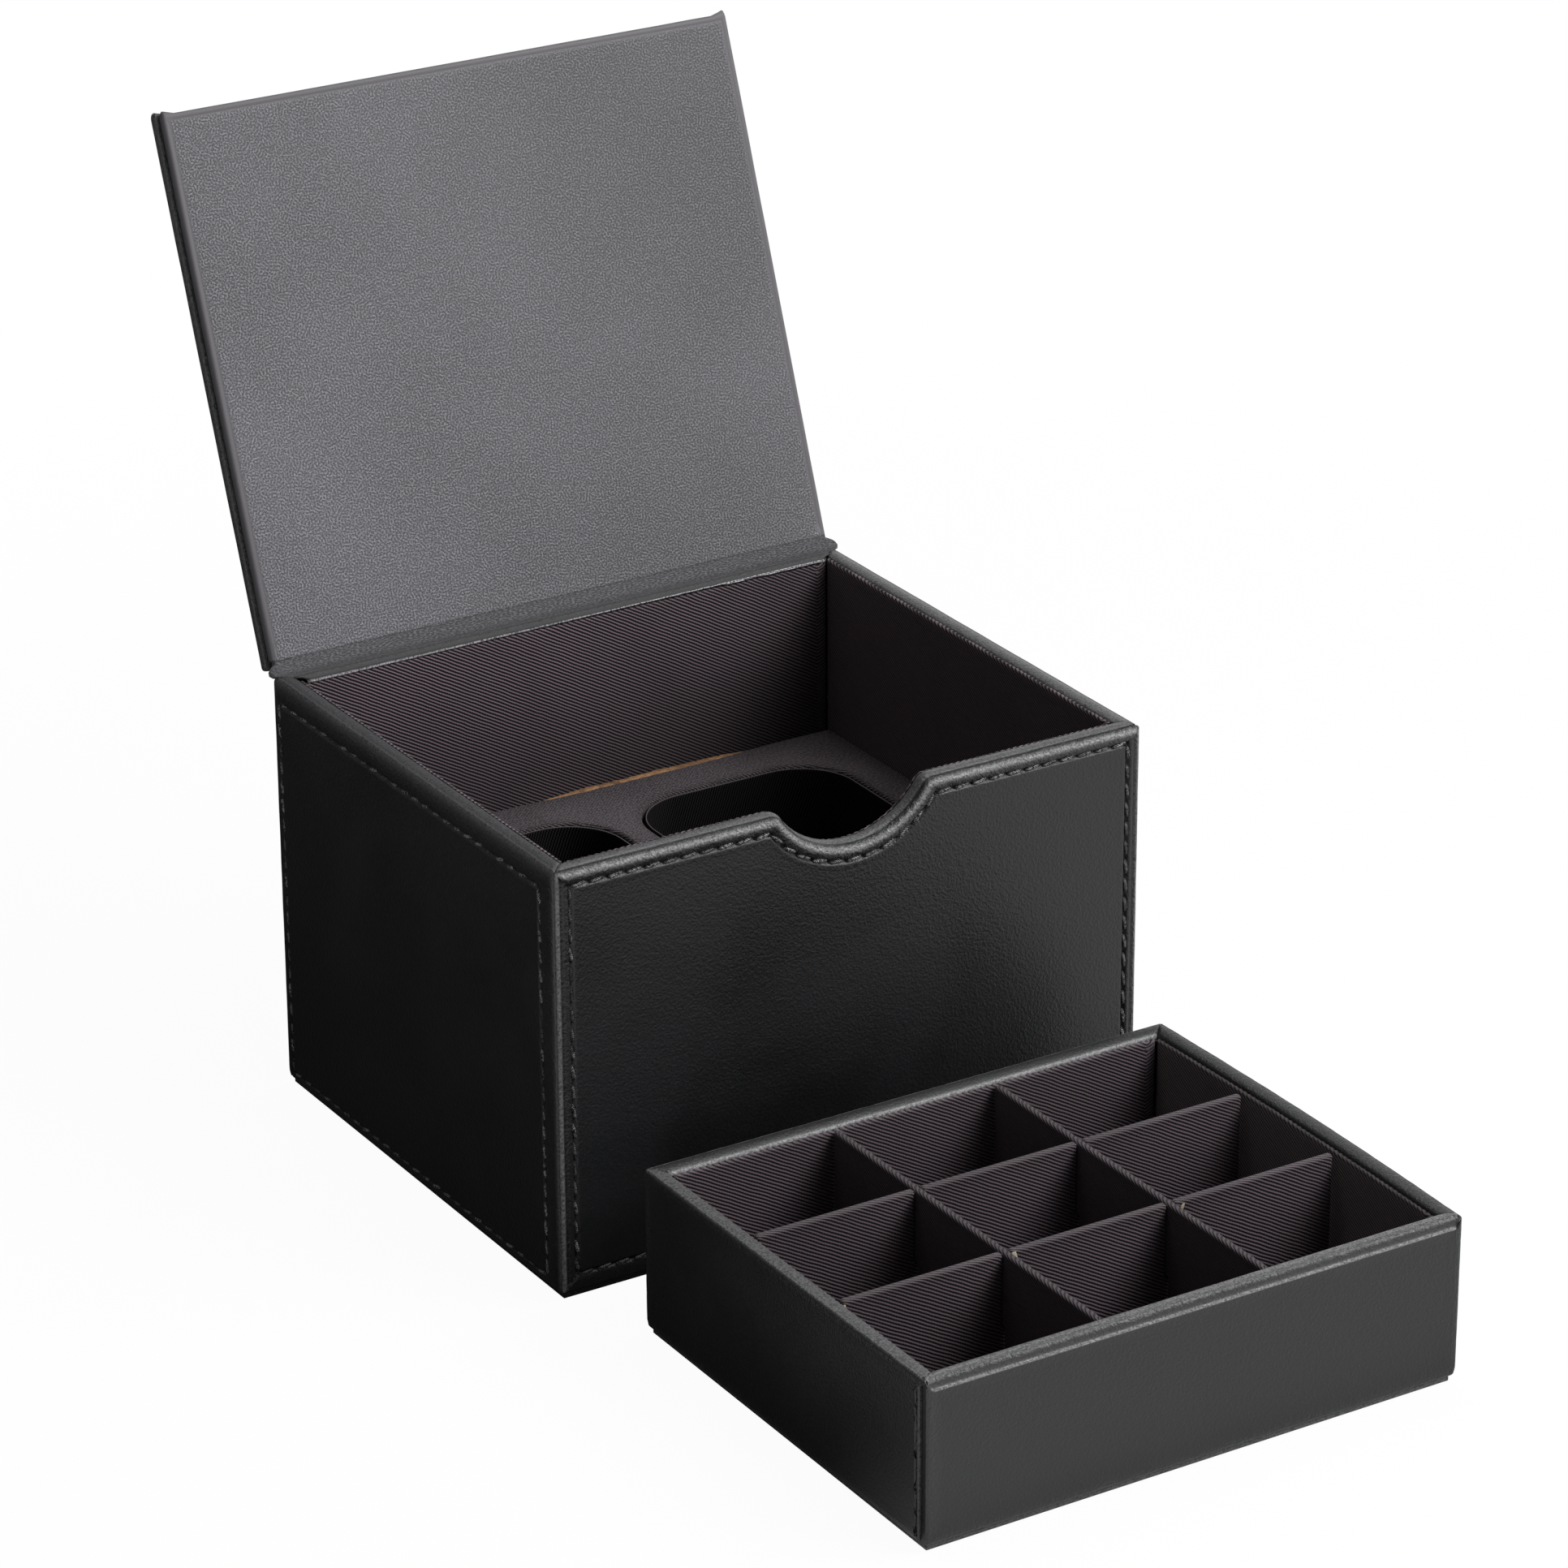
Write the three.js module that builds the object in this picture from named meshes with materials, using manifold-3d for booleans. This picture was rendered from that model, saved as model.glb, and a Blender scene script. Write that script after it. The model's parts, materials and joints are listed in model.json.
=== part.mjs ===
// A leather-covered jewelry box: a box with a hinged lid, a fixed insert with two wells,
// and a lift-out tray with nine cells, shown with the lid open and the tray set down in front.
//
// Units are millimetres. X runs along the width, Y from front (-) to back (+), Z up.
// The origin is the centre of the box's underside. The tray stands on the same surface.

import * as THREE from 'three';
import { mergeVertices } from 'three/addons/utils/BufferGeometryUtils.js';
import Module from 'manifold-3d';

const wasm = await Module();
wasm.setup();

// Box
const boxWidth = 180;
const boxDepth = 153.5;
const boxHeight = 122.5;
const boxBoard = 4.1;

// Sheet materials that the box and the tray share
const leather = 1;
const lining = 1.2;
const floorCloth = 0.8;
const glueLine = 0.1;
const mitreGap = 0.3;
const fitGap = 0.3;

// Leather turned down inside the rims
const boxLip = 2.8;
const trayLip = 2;

// Wrapped card under the walls, and the board laid inside them
const baseCard = 0.8;
const baseWrap = 0.5;
const baseSetback = 1.2;
const boxFloorBoard = 3;
const trayFloorBoard = 2;

// Thumb notch in the front wall: the fillet is the smallest radius of its shoulders
const notchRadius = 26;
const notchDepth = 13;
const notchFillet = 1.6;

// Insert: a cloth-covered platform with two wells
const platformDrop = 52.5;
const platformBoard = 2;
const platformCloth = 0.8;
const clothSetback = 1.3;
const wellSideMargin = 13.5;
const wellEndMargin = 18.2;
const wellRib = 11;
const wellCorner = 17;
const wellCard = 1.4;

// Lid: two wrapped panels, one on the other, on a leather flap
const lidLeather = 0.8;
const lidBoard = 1.4;
const lidSetback = 1.4;
const lidInnerInset = 1.35;
const lidLean = 20.6;
const hingeBehind = 0.9;
const hingeAbove = 0.3;
const flapThickness = 0.8;
const flapLip = 2.6;
const flapInset = 1;
const flapOverhang = 0.6;

// Tray: sized from the space above the insert
const traySideClearance = 3.2;
const trayEndClearance = 4.2;
const trayRecess = 5.2;
const trayBoard = 3.5;
const trayStandoff = 25.2;
const trayShift = 0.6;
const trayColumns = 3;
const trayRows = 3;
const dividerCard = 1.9;
const dividerDrop = 1.2;
const columnShift = -1.2;
const rowShift = 1.5;

// Worked-out sizes
const layer = leather + glueLine;
const boxWall = layer + boxBoard + glueLine + lining;
const innerWidth = boxWidth - 2 * boxWall;
const innerDepth = boxDepth - 2 * boxWall;
const basePanel = baseWrap + glueLine + baseCard;
const wallBottom = basePanel + glueLine;
const backTop = boxHeight - flapThickness - glueLine;
const shoulderRadius = notchFillet + boxLip + glueLine;
const platformTop = boxHeight - platformDrop;

const trayWall = layer + trayBoard + glueLine + lining;
const trayWidth = innerWidth - 2 * traySideClearance;
const trayDepth = innerDepth - 2 * trayEndClearance;
const trayHeight = platformDrop - trayRecess;
const trayInnerWidth = trayWidth - 2 * trayWall;
const trayInnerDepth = trayDepth - 2 * trayWall;

const lidPanel = lidLeather + fitGap + lidBoard;
const lidReach = boxDepth + hingeBehind - lidSetback;

// How far a cutter runs past what it cuts.
const cutterRun = 1;

// ---------------------------------------------------------------- materials

function finish(color, roughness) {
  return new THREE.MeshStandardMaterial({ color, roughness, metalness: 0 });
}

const smoothLeather = () => finish(0x1c1d1f, 0.45);
const grainedLeather = () => finish(0x5f5d60, 0.55);
const twill = () => finish(0x453c41, 0.9);
const plainCloth = () => finish(0x4a4347, 0.95);
const greyBoard = () => finish(0x8b8578, 0.9);
const kraftBoard = () => finish(0xa07c55, 0.9);

// ---------------------------------------------------------------- solids

// A closed solid from a three.js geometry, with its shared corners merged.
function solid(geometry) {
  geometry.deleteAttribute('normal');
  geometry.deleteAttribute('uv');
  const merged = mergeVertices(geometry);
  const vertProperties = new Float32Array(merged.attributes.position.array);
  const triVerts = new Uint32Array(merged.index.array);
  return new wasm.Manifold(new wasm.Mesh({ numProp: 3, vertProperties, triVerts }));
}

// A named mesh from a solid.
function piece(name, body, material) {
  const { vertProperties, triVerts } = body.getMesh();
  const geometry = new THREE.BufferGeometry();
  geometry.setAttribute('position', new THREE.BufferAttribute(vertProperties, 3));
  geometry.setIndex(new THREE.BufferAttribute(triVerts, 1));
  geometry.computeVertexNormals();
  const mesh = new THREE.Mesh(geometry, material);
  mesh.name = name;
  return mesh;
}

// A block from its low and high limits along X, Y and Z.
function block(x0, x1, y0, y1, z0, z1) {
  const geometry = new THREE.BoxGeometry(x1 - x0, y1 - y0, z1 - z0);
  geometry.translate((x0 + x1) / 2, (y0 + y1) / 2, (z0 + z1) / 2);
  return solid(geometry);
}

// A block centred on the Z axis.
function centredBlock(width, depth, z0, z1) {
  return block(-width / 2, width / 2, -depth / 2, depth / 2, z0, z1);
}

// A plan outline raised from z0 to z1.
function raised(plan, z0, z1) {
  const geometry = new THREE.ExtrudeGeometry(plan, {
    depth: z1 - z0,
    bevelEnabled: false,
    curveSegments: 8,
  });
  geometry.translate(0, 0, z0);
  return solid(geometry);
}

// An outline drawn in X and Z, given thickness from y0 to y1.
function upright(outline, y0, y1) {
  const geometry = new THREE.ExtrudeGeometry(outline, {
    depth: y1 - y0,
    bevelEnabled: false,
    curveSegments: 12,
  });
  geometry.rotateX(Math.PI / 2);
  geometry.translate(0, y1, 0);
  return solid(geometry);
}

// A rectangle with rounded corners, centred on (x, 0).
function roundedRectangle(x, width, depth, radius) {
  const right = x + width / 2 - radius;
  const left = x - width / 2 + radius;
  const end = depth / 2 - radius;
  const quarter = Math.PI / 2;
  const plan = new THREE.Shape();
  plan.absarc(right, end, radius, 0, quarter, false);
  plan.absarc(left, end, radius, quarter, 2 * quarter, false);
  plan.absarc(left, -end, radius, 2 * quarter, 3 * quarter, false);
  plan.absarc(right, -end, radius, 3 * quarter, 4 * quarter, false);
  plan.closePath();
  return plan;
}

// ---------------------------------------------------------------- walls
//
// A wall is built lying along X with its outer face at y = 0 and its inner face at
// y = wall.thickness, then turned into place. It has a core board, a leather cover that
// wraps the outer face, the top edge and a lip inside, and a cloth lining below the lip.

// Notch outline from right to left, let into a top edge that is lowered by inset.
function cutNotch(outline, top, inset) {
  const centreZ = top - notchDepth + notchRadius;
  const shoulderZ = top - shoulderRadius;
  const rise = centreZ - shoulderZ;
  const reach = notchRadius + shoulderRadius;
  const shoulderX = Math.sqrt(reach * reach - rise * rise);
  const lean = Math.atan2(rise, -shoulderX);
  const shoulder = shoulderRadius - inset;
  outline.absarc(shoulderX, shoulderZ, shoulder, Math.PI / 2, lean, false);
  outline.absarc(0, centreZ, notchRadius + inset, lean - Math.PI, -lean, true);
  outline.absarc(-shoulderX, shoulderZ, shoulder, Math.PI - lean, Math.PI / 2, false);
}

// Front view of a wall whose top edge, notch included, is lowered by inset.
function wallOutline(wall, length, bottom, inset) {
  const half = length / 2;
  const outline = new THREE.Shape();
  outline.moveTo(-half, bottom);
  outline.lineTo(half, bottom);
  outline.lineTo(half, wall.top - inset);
  if (wall.notched) {
    cutNotch(outline, wall.top, inset);
  }
  outline.lineTo(-half, wall.top - inset);
  outline.closePath();
  return outline;
}

// Plan of a wall with mitred ends, for trimming whatever is built along it.
function mitredPlan(wall) {
  const outer = wall.length / 2 - mitreGap / Math.SQRT2;
  const inner = outer - wall.thickness;
  const plan = new THREE.Shape();
  plan.moveTo(-outer, 0);
  plan.lineTo(outer, 0);
  plan.lineTo(inner, wall.thickness);
  plan.lineTo(-inner, wall.thickness);
  plan.closePath();
  return plan;
}

function mitred(body, wall) {
  return body.intersect(raised(mitredPlan(wall), 0, wall.top + cutterRun));
}

function wallBoard(wall) {
  const outline = wallOutline(wall, wall.length, wallBottom, layer);
  return mitred(upright(outline, layer, layer + wall.board), wall);
}

function wallCover(wall) {
  const liningFace = wall.thickness - lining;
  const cutLength = wall.length + 2 * cutterRun;
  const under = wallBottom - cutterRun;
  const whole = upright(wallOutline(wall, wall.length, wallBottom, 0), 0, wall.thickness);
  const core = upright(wallOutline(wall, cutLength, under, leather), leather, liningFace);
  const room = upright(
    wallOutline(wall, cutLength, under, wall.lip),
    liningFace - glueLine,
    wall.thickness + cutterRun,
  );
  return mitred(whole.subtract(core).subtract(room), wall);
}

function wallLining(wall) {
  const outline = wallOutline(wall, wall.length, wall.liningBottom, wall.lip + glueLine);
  return mitred(upright(outline, wall.thickness - lining, wall.thickness), wall);
}

// Board, cover and lining of one wall, turned to its side of a case of the given size.
function wallGroup(prefix, side, wall, width, depth) {
  const group = new THREE.Group();
  group.add(piece(`${prefix}${side}_board`, wallBoard(wall), greyBoard()));
  group.add(piece(`${prefix}${side}_cover`, wallCover(wall), smoothLeather()));
  group.add(piece(`${prefix}${side}_lining`, wallLining(wall), twill()));
  const placing = {
    front: [0, -depth / 2, 0],
    right: [width / 2, 0, 1],
    back: [0, depth / 2, 2],
    left: [-width / 2, 0, 3],
  };
  const [x, y, quarterTurns] = placing[side];
  group.position.set(x, y, 0);
  group.rotation.z = (quarterTurns * Math.PI) / 2;
  return group;
}

// The four walls of a case.
function walls(prefix, size, changes) {
  const group = new THREE.Group();
  for (const side of ['front', 'right', 'back', 'left']) {
    const lengthwise = side === 'front' || side === 'back';
    const wall = {
      length: lengthwise ? size.width : size.depth,
      top: size.height,
      board: size.board,
      thickness: size.thickness,
      lip: size.lip,
      liningBottom: wallBottom + size.floorBoard + glueLine,
      ...changes[side],
    };
    group.add(wallGroup(prefix, side, wall, size.width, size.depth));
  }
  return group;
}

// ---------------------------------------------------------------- bottom

// Leather paper folded up round the base card like a shallow pan.
function baseWrapSolid(width, depth) {
  const outerWidth = width - 2 * baseSetback;
  const outerDepth = depth - 2 * baseSetback;
  const pan = centredBlock(outerWidth, outerDepth, 0, basePanel);
  const room = centredBlock(
    outerWidth - 2 * baseWrap,
    outerDepth - 2 * baseWrap,
    baseWrap,
    basePanel + cutterRun,
  );
  return pan.subtract(room);
}

function baseCardSolid(width, depth) {
  const edge = 2 * (baseSetback + baseWrap + glueLine);
  return centredBlock(width - edge, depth - edge, baseWrap + glueLine, basePanel);
}

// Board laid between the wall boards; the wall linings stand on its rim.
function floorBoardSolid(size) {
  const edge = 2 * (layer + size.board + glueLine);
  return centredBlock(
    size.width - edge,
    size.depth - edge,
    wallBottom,
    wallBottom + size.floorBoard,
  );
}

function floorTop(size) {
  return wallBottom + size.floorBoard + glueLine + floorCloth;
}

function floorLiningSolid(size) {
  const edge = 2 * (size.thickness + fitGap);
  return centredBlock(
    size.width - edge,
    size.depth - edge,
    floorTop(size) - floorCloth,
    floorTop(size),
  );
}

function bottom(prefix, size) {
  const group = new THREE.Group();
  group.add(piece(`${prefix}base_cover`, baseWrapSolid(size.width, size.depth), smoothLeather()));
  group.add(piece(`${prefix}base_card`, baseCardSolid(size.width, size.depth), greyBoard()));
  group.add(piece(`${prefix}floor_board`, floorBoardSolid(size), greyBoard()));
  group.add(piece(`${prefix}floor_lining`, floorLiningSolid(size), twill()));
  return group;
}

// ---------------------------------------------------------------- insert

const wellWidth = (innerWidth - wellRib) / 2 - wellSideMargin;
const wellDepth = innerDepth - 2 * wellEndMargin;
const wellOffset = (wellRib + wellWidth) / 2;
const wellSides = { left: -1, right: 1 };

// Plan of a well, grown outwards by margin.
function wellPlan(side, margin) {
  return roundedRectangle(
    wellSides[side] * wellOffset,
    wellWidth + 2 * margin,
    wellDepth + 2 * margin,
    wellCorner + margin,
  );
}

// A sheet across the insert with an opening for each well liner.
function platformSheet(backSetback, z0, z1) {
  const halfWidth = innerWidth / 2 - fitGap;
  const halfDepth = innerDepth / 2 - fitGap;
  let sheet = block(-halfWidth, halfWidth, -halfDepth, halfDepth - backSetback, z0, z1);
  for (const side of Object.keys(wellSides)) {
    sheet = sheet.subtract(raised(wellPlan(side, wellCard + fitGap), z0 - cutterRun, z1 + cutterRun));
  }
  return sheet;
}

// Cloth-covered card bent into a ring, standing on the floor lining.
function wellLiner(side, bottomZ) {
  const outside = raised(wellPlan(side, wellCard), bottomZ, platformTop);
  const inside = raised(wellPlan(side, 0), bottomZ - cutterRun, platformTop + cutterRun);
  return outside.subtract(inside);
}

function insert(size) {
  const clothBottom = platformTop - platformCloth;
  const boardTop = clothBottom - glueLine;
  const group = new THREE.Group();
  const board = platformSheet(0, boardTop - platformBoard, boardTop);
  group.add(piece('insert_board', board, kraftBoard()));
  const cloth = platformSheet(clothSetback, clothBottom, platformTop);
  group.add(piece('insert_cloth', cloth, plainCloth()));
  for (const side of Object.keys(wellSides)) {
    const liner = wellLiner(side, floorTop(size) + glueLine);
    group.add(piece(`${side}_well_liner`, liner, twill()));
  }
  return group;
}

// ---------------------------------------------------------------- hinge flap

// The leather flap that carries the lid, glued over the back rim and down inside it.
// It is drawn like a back wall, with y running in from the outer face.
function hingeFlap() {
  const lipFace = boxWall + glueLine;
  const inner = lipFace + flapThickness;
  const profile = new THREE.Shape();
  profile.moveTo(-flapOverhang, boxHeight - flapThickness);
  profile.lineTo(lipFace, boxHeight - flapThickness);
  profile.lineTo(lipFace, boxHeight - flapLip);
  profile.lineTo(inner, boxHeight - flapLip);
  profile.lineTo(inner, boxHeight);
  profile.lineTo(-flapOverhang, boxHeight);
  profile.closePath();
  const strip = new THREE.ExtrudeGeometry(profile, { depth: boxWidth, bevelEnabled: false });
  strip.translate(0, 0, -boxWidth / 2);
  strip.rotateX(Math.PI / 2);
  strip.rotateZ(Math.PI / 2);
  return trimmedFlap(solid(strip), inner);
}

// Cuts the flap's ends back to the mitre lines of the side walls.
function trimmedFlap(strip, inner) {
  const mitre = mitreGap / Math.SQRT2;
  const half = boxWidth / 2 - flapInset;
  const end = boxWidth / 2 - mitre - inner;
  const plan = new THREE.Shape();
  plan.moveTo(-half, -flapOverhang);
  plan.lineTo(half, -flapOverhang);
  plan.lineTo(half, flapInset - mitre);
  plan.lineTo(end, inner);
  plan.lineTo(-end, inner);
  plan.lineTo(-half, flapInset - mitre);
  plan.closePath();
  return strip.intersect(raised(plan, boxHeight - flapLip - cutterRun, boxHeight + cutterRun));
}

function hinge() {
  const group = new THREE.Group();
  group.add(piece('hinge_flap', hingeFlap(), smoothLeather()));
  group.position.set(0, boxDepth / 2, 0);
  group.rotation.z = Math.PI;
  return group;
}

// ---------------------------------------------------------------- lid
//
// The lid is drawn closed, with the hinge axis through the origin: y runs from 0 at the
// hinge to -lidReach at the front, and z from 0 at the inner face upwards.

const panelBack = -fitGap;

// A pan of leather wrapped round a board; the open side takes the board.
function panelWrap(halfWidth, z0, z1, openBelow) {
  const whole = block(-halfWidth, halfWidth, -lidReach, panelBack, z0, z1);
  const room = block(
    -halfWidth + lidLeather,
    halfWidth - lidLeather,
    -lidReach + lidLeather,
    panelBack - lidLeather,
    openBelow ? z0 - cutterRun : z0 + lidLeather,
    openBelow ? z1 - lidLeather : z1 + cutterRun,
  );
  return whole.subtract(room);
}

function panelBoard(halfWidth, z0, z1) {
  const edge = lidLeather + fitGap;
  return block(
    -halfWidth + edge,
    halfWidth - edge,
    -lidReach + edge,
    panelBack - edge,
    z0,
    z1,
  );
}

function lid() {
  const outerHalf = boxWidth / 2;
  const innerHalf = outerHalf - lidInnerInset;
  const seam = lidPanel + fitGap;
  const top = seam + lidPanel;
  const edge = lidLeather + fitGap;
  const group = new THREE.Group();
  const innerWrap = panelWrap(innerHalf, 0, lidPanel, false);
  group.add(piece('lid_inner_cover', innerWrap, grainedLeather()));
  const innerBoard = panelBoard(innerHalf, edge, lidPanel);
  group.add(piece('lid_inner_board', innerBoard, greyBoard()));
  const outerWrap = panelWrap(outerHalf, seam, top, true);
  group.add(piece('lid_cover', outerWrap, smoothLeather()));
  const outerBoard = panelBoard(outerHalf, seam, top - edge);
  group.add(piece('lid_board', outerBoard, greyBoard()));
  group.position.set(0, boxDepth / 2 + hingeBehind, boxHeight + hingeAbove);
  group.rotation.x = -THREE.MathUtils.degToRad(90 + lidLean);
  return group;
}

// ---------------------------------------------------------------- dividers

// Where the strips stand along one inner length split into equal cells.
function stripPlaces(length, cells, shift) {
  const places = [];
  for (let i = 1; i < cells; i += 1) {
    places.push((i * length) / cells - length / 2 + shift);
  }
  return places;
}

const columnPlaces = stripPlaces(trayInnerWidth, trayColumns, columnShift);
const rowPlaces = stripPlaces(trayInnerDepth, trayRows, rowShift);

// A strip along Y at x = 0 with half-lap slots open below.
function columnStrip(z0, z1) {
  const half = dividerCard / 2;
  const end = trayInnerDepth / 2 - fitGap;
  const middle = (z0 + z1) / 2 + fitGap / 2;
  let strip = block(-half, half, -end, end, z0, z1);
  const slot = half + fitGap;
  const reach = half + cutterRun;
  for (const y of rowPlaces) {
    strip = strip.subtract(block(-reach, reach, y - slot, y + slot, z0 - cutterRun, middle));
  }
  return strip;
}

// A strip along X at y = 0 with half-lap slots open above.
function rowStrip(z0, z1) {
  const half = dividerCard / 2;
  const end = trayInnerWidth / 2 - fitGap;
  const middle = (z0 + z1) / 2 - fitGap / 2;
  let strip = block(-end, end, -half, half, z0, z1);
  const slot = half + fitGap;
  const reach = half + cutterRun;
  for (const x of columnPlaces) {
    strip = strip.subtract(block(x - slot, x + slot, -reach, reach, middle, z1 + cutterRun));
  }
  return strip;
}

function dividers(size) {
  const z0 = floorTop(size) + glueLine;
  const z1 = size.height - dividerDrop;
  const group = new THREE.Group();
  columnPlaces.forEach((x, i) => {
    const strip = piece(`tray_column_divider_${i + 1}`, columnStrip(z0, z1), twill());
    strip.position.x = x;
    group.add(strip);
  });
  rowPlaces.forEach((y, i) => {
    const strip = piece(`tray_row_divider_${i + 1}`, rowStrip(z0, z1), twill());
    strip.position.y = y;
    group.add(strip);
  });
  return group;
}

// ---------------------------------------------------------------- assembly

const boxSize = {
  width: boxWidth,
  depth: boxDepth,
  height: boxHeight,
  board: boxBoard,
  thickness: boxWall,
  lip: boxLip,
  floorBoard: boxFloorBoard,
};

const traySize = {
  width: trayWidth,
  depth: trayDepth,
  height: trayHeight,
  board: trayBoard,
  thickness: trayWall,
  lip: trayLip,
  floorBoard: trayFloorBoard,
};

function box() {
  const group = new THREE.Group();
  const changes = { front: { notched: true }, back: { top: backTop } };
  group.add(bottom('', boxSize));
  group.add(walls('', boxSize, changes));
  group.add(insert(boxSize));
  group.add(hinge());
  return group;
}

function tray() {
  const group = new THREE.Group();
  group.add(bottom('tray_', traySize));
  group.add(walls('tray_', traySize, {}));
  group.add(dividers(traySize));
  group.position.set(trayShift, -(boxDepth / 2 + trayStandoff + trayDepth / 2), 0);
  return group;
}

const jewelryBox = new THREE.Group();
jewelryBox.add(box());
jewelryBox.add(lid());
jewelryBox.add(tray());

export default jewelryBox;
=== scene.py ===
"""Looks of a leather-covered jewelry box with a lift-out tray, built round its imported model.

Every length is in metres, in the model's own frame: X along the box's width, Y from the front
wall to the hinge, Z up, with the origin under the middle of the box.
"""

import json
import logging
from collections.abc import Callable, Iterable
from dataclasses import dataclass, field
from enum import Enum, IntEnum
from itertools import pairwise
from math import acos, atan2, copysign, cos, exp, hypot, pi, radians, sin, sqrt

import bmesh
import bpy
from mathutils import Matrix, Vector, noise


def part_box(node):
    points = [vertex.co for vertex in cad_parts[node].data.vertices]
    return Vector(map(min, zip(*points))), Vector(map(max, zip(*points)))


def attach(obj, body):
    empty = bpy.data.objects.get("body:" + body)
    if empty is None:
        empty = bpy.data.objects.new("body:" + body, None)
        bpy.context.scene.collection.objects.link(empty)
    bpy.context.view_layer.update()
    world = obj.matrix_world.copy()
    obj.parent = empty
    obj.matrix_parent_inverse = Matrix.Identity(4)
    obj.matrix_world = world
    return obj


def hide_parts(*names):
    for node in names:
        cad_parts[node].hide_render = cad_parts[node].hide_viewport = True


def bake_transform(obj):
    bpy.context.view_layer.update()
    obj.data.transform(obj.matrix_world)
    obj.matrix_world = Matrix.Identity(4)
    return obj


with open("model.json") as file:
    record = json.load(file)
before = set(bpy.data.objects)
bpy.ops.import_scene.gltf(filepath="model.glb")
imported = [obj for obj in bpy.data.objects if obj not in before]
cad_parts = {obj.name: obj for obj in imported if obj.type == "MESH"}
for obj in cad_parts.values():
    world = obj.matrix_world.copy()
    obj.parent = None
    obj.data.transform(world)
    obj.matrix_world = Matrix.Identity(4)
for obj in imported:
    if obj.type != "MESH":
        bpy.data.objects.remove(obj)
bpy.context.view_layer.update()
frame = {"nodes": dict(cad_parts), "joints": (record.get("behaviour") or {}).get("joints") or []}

MM = 0.001
QUARTER = pi / 2
WHITE = (1.0, 1.0, 1.0)
LOG = logging.getLogger("jewelry_box")
Colour = tuple[float, float, float]
Socket = bpy.types.NodeSocket


def add_object(name: str, data: bpy.types.ID) -> bpy.types.Object:
    """Adds an object with its data to the scene."""
    thing = bpy.data.objects.new(name, data)
    bpy.context.scene.collection.objects.link(thing)
    return thing


# ---------------------------------------------------------------- shader graphs


class Graph:
    """Adds nodes to one node tree. A value is a constant or another node's output."""

    def __init__(self, tree: bpy.types.NodeTree) -> None:
        """Keeps the tree that the nodes go into."""
        self.tree = tree

    def feed(self, socket: Socket, value: object) -> None:
        """Links an output to a socket, or sets the socket's constant."""
        if isinstance(value, bpy.types.NodeSocket):
            self.tree.links.new(value, socket)
        else:
            socket.default_value = (*value, 1.0) if socket.type == "RGBA" else value

    def add(self, kind: str, inputs: dict | None = None, **settings: object) -> bpy.types.Node:
        """Adds a node.

        Args:
            kind: the node's class name.
            inputs: values by input name or number.
            settings: attributes of the node itself.

        Returns:
            The new node.
        """
        node = self.tree.nodes.new(kind)
        for name, value in settings.items():
            setattr(node, name, value)
        for name, value in (inputs or {}).items():
            self.feed(node.inputs[name], value)
        return node

    def math(self, operation: str, *values: object) -> Socket:
        """Adds a math node on its operands."""
        return self.add("ShaderNodeMath", dict(enumerate(values)), operation=operation).outputs[0]

    def times(self, a: object, b: object) -> Socket:
        """Multiplies two values."""
        return self.math("MULTIPLY", a, b)

    def line(self, value: object, slope: object, start: object) -> Socket:
        """Gives a value times a slope, plus a start."""
        return self.math("MULTIPLY_ADD", value, slope, start)

    def wave(self, turns: object) -> Socket:
        """Gives the sine of a number of half turns."""
        return self.math("SINE", self.times(turns, pi))

    def parts(self, vector: object) -> bpy.types.NodeOutputs:
        """Takes a vector apart into X, Y and Z."""
        return self.add("ShaderNodeSeparateXYZ", {0: vector}).outputs

    def mix(self, factor: object, low: object, high: object) -> Socket:
        """Mixes two colours, where a factor of 0 gives the low one."""
        return self.add("ShaderNodeMix", {0: factor, 6: low, 7: high}, data_type="RGBA").outputs[2]

    def blend(self, factor: object, low: object, high: object) -> Socket:
        """Mixes two shaders, where a factor of 0 gives the low one."""
        return self.add("ShaderNodeMixShader", {0: factor, 1: low, 2: high}).outputs[0]

    def span(self, value: object, low: float, high: float, first: object = 0.0, last: object = 1.0) -> Socket:
        """Maps a value from one range to another, smoothly and with clamped ends.

        Args:
            value: the value to map.
            low: the range's start.
            high: the range's end.
            first: the result at the start.
            last: the result at the end.

        Returns:
            The mapped value.
        """
        values = {"Value": value, "From Min": low, "From Max": high, "To Min": first, "To Max": last}
        return self.add("ShaderNodeMapRange", values, interpolation_type="SMOOTHSTEP").outputs[0]

    def noise(self, vector: object, scale: object, detail: float = 2.0, distortion: float = 0.0) -> Socket:
        """Adds a noise texture, about 0.5 on average.

        Args:
            vector: the coordinates.
            scale: waves for each metre.
            detail: octaves.
            distortion: how far the pattern is stirred.

        Returns:
            The noise.
        """
        values = {"Vector": vector, "Scale": scale, "Detail": detail, "Distortion": distortion}
        return self.add("ShaderNodeTexNoise", values).outputs["Fac"]

    def here(self) -> Socket:
        """Gives the object coordinates."""
        return self.add("ShaderNodeTexCoord").outputs["Object"]

    def layer(self, name: str, output: str = "Fac") -> Socket:
        """Reads one of the piece's own attributes."""
        return self.add("ShaderNodeAttribute", attribute_name=name).outputs[output]

    def bump(self, height: object, distance: float) -> Socket:
        """Turns a height from 0 to 1 into a normal, where 1 measures the distance."""
        return self.add("ShaderNodeBump", {"Height": height, "Distance": distance}).outputs["Normal"]


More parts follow.
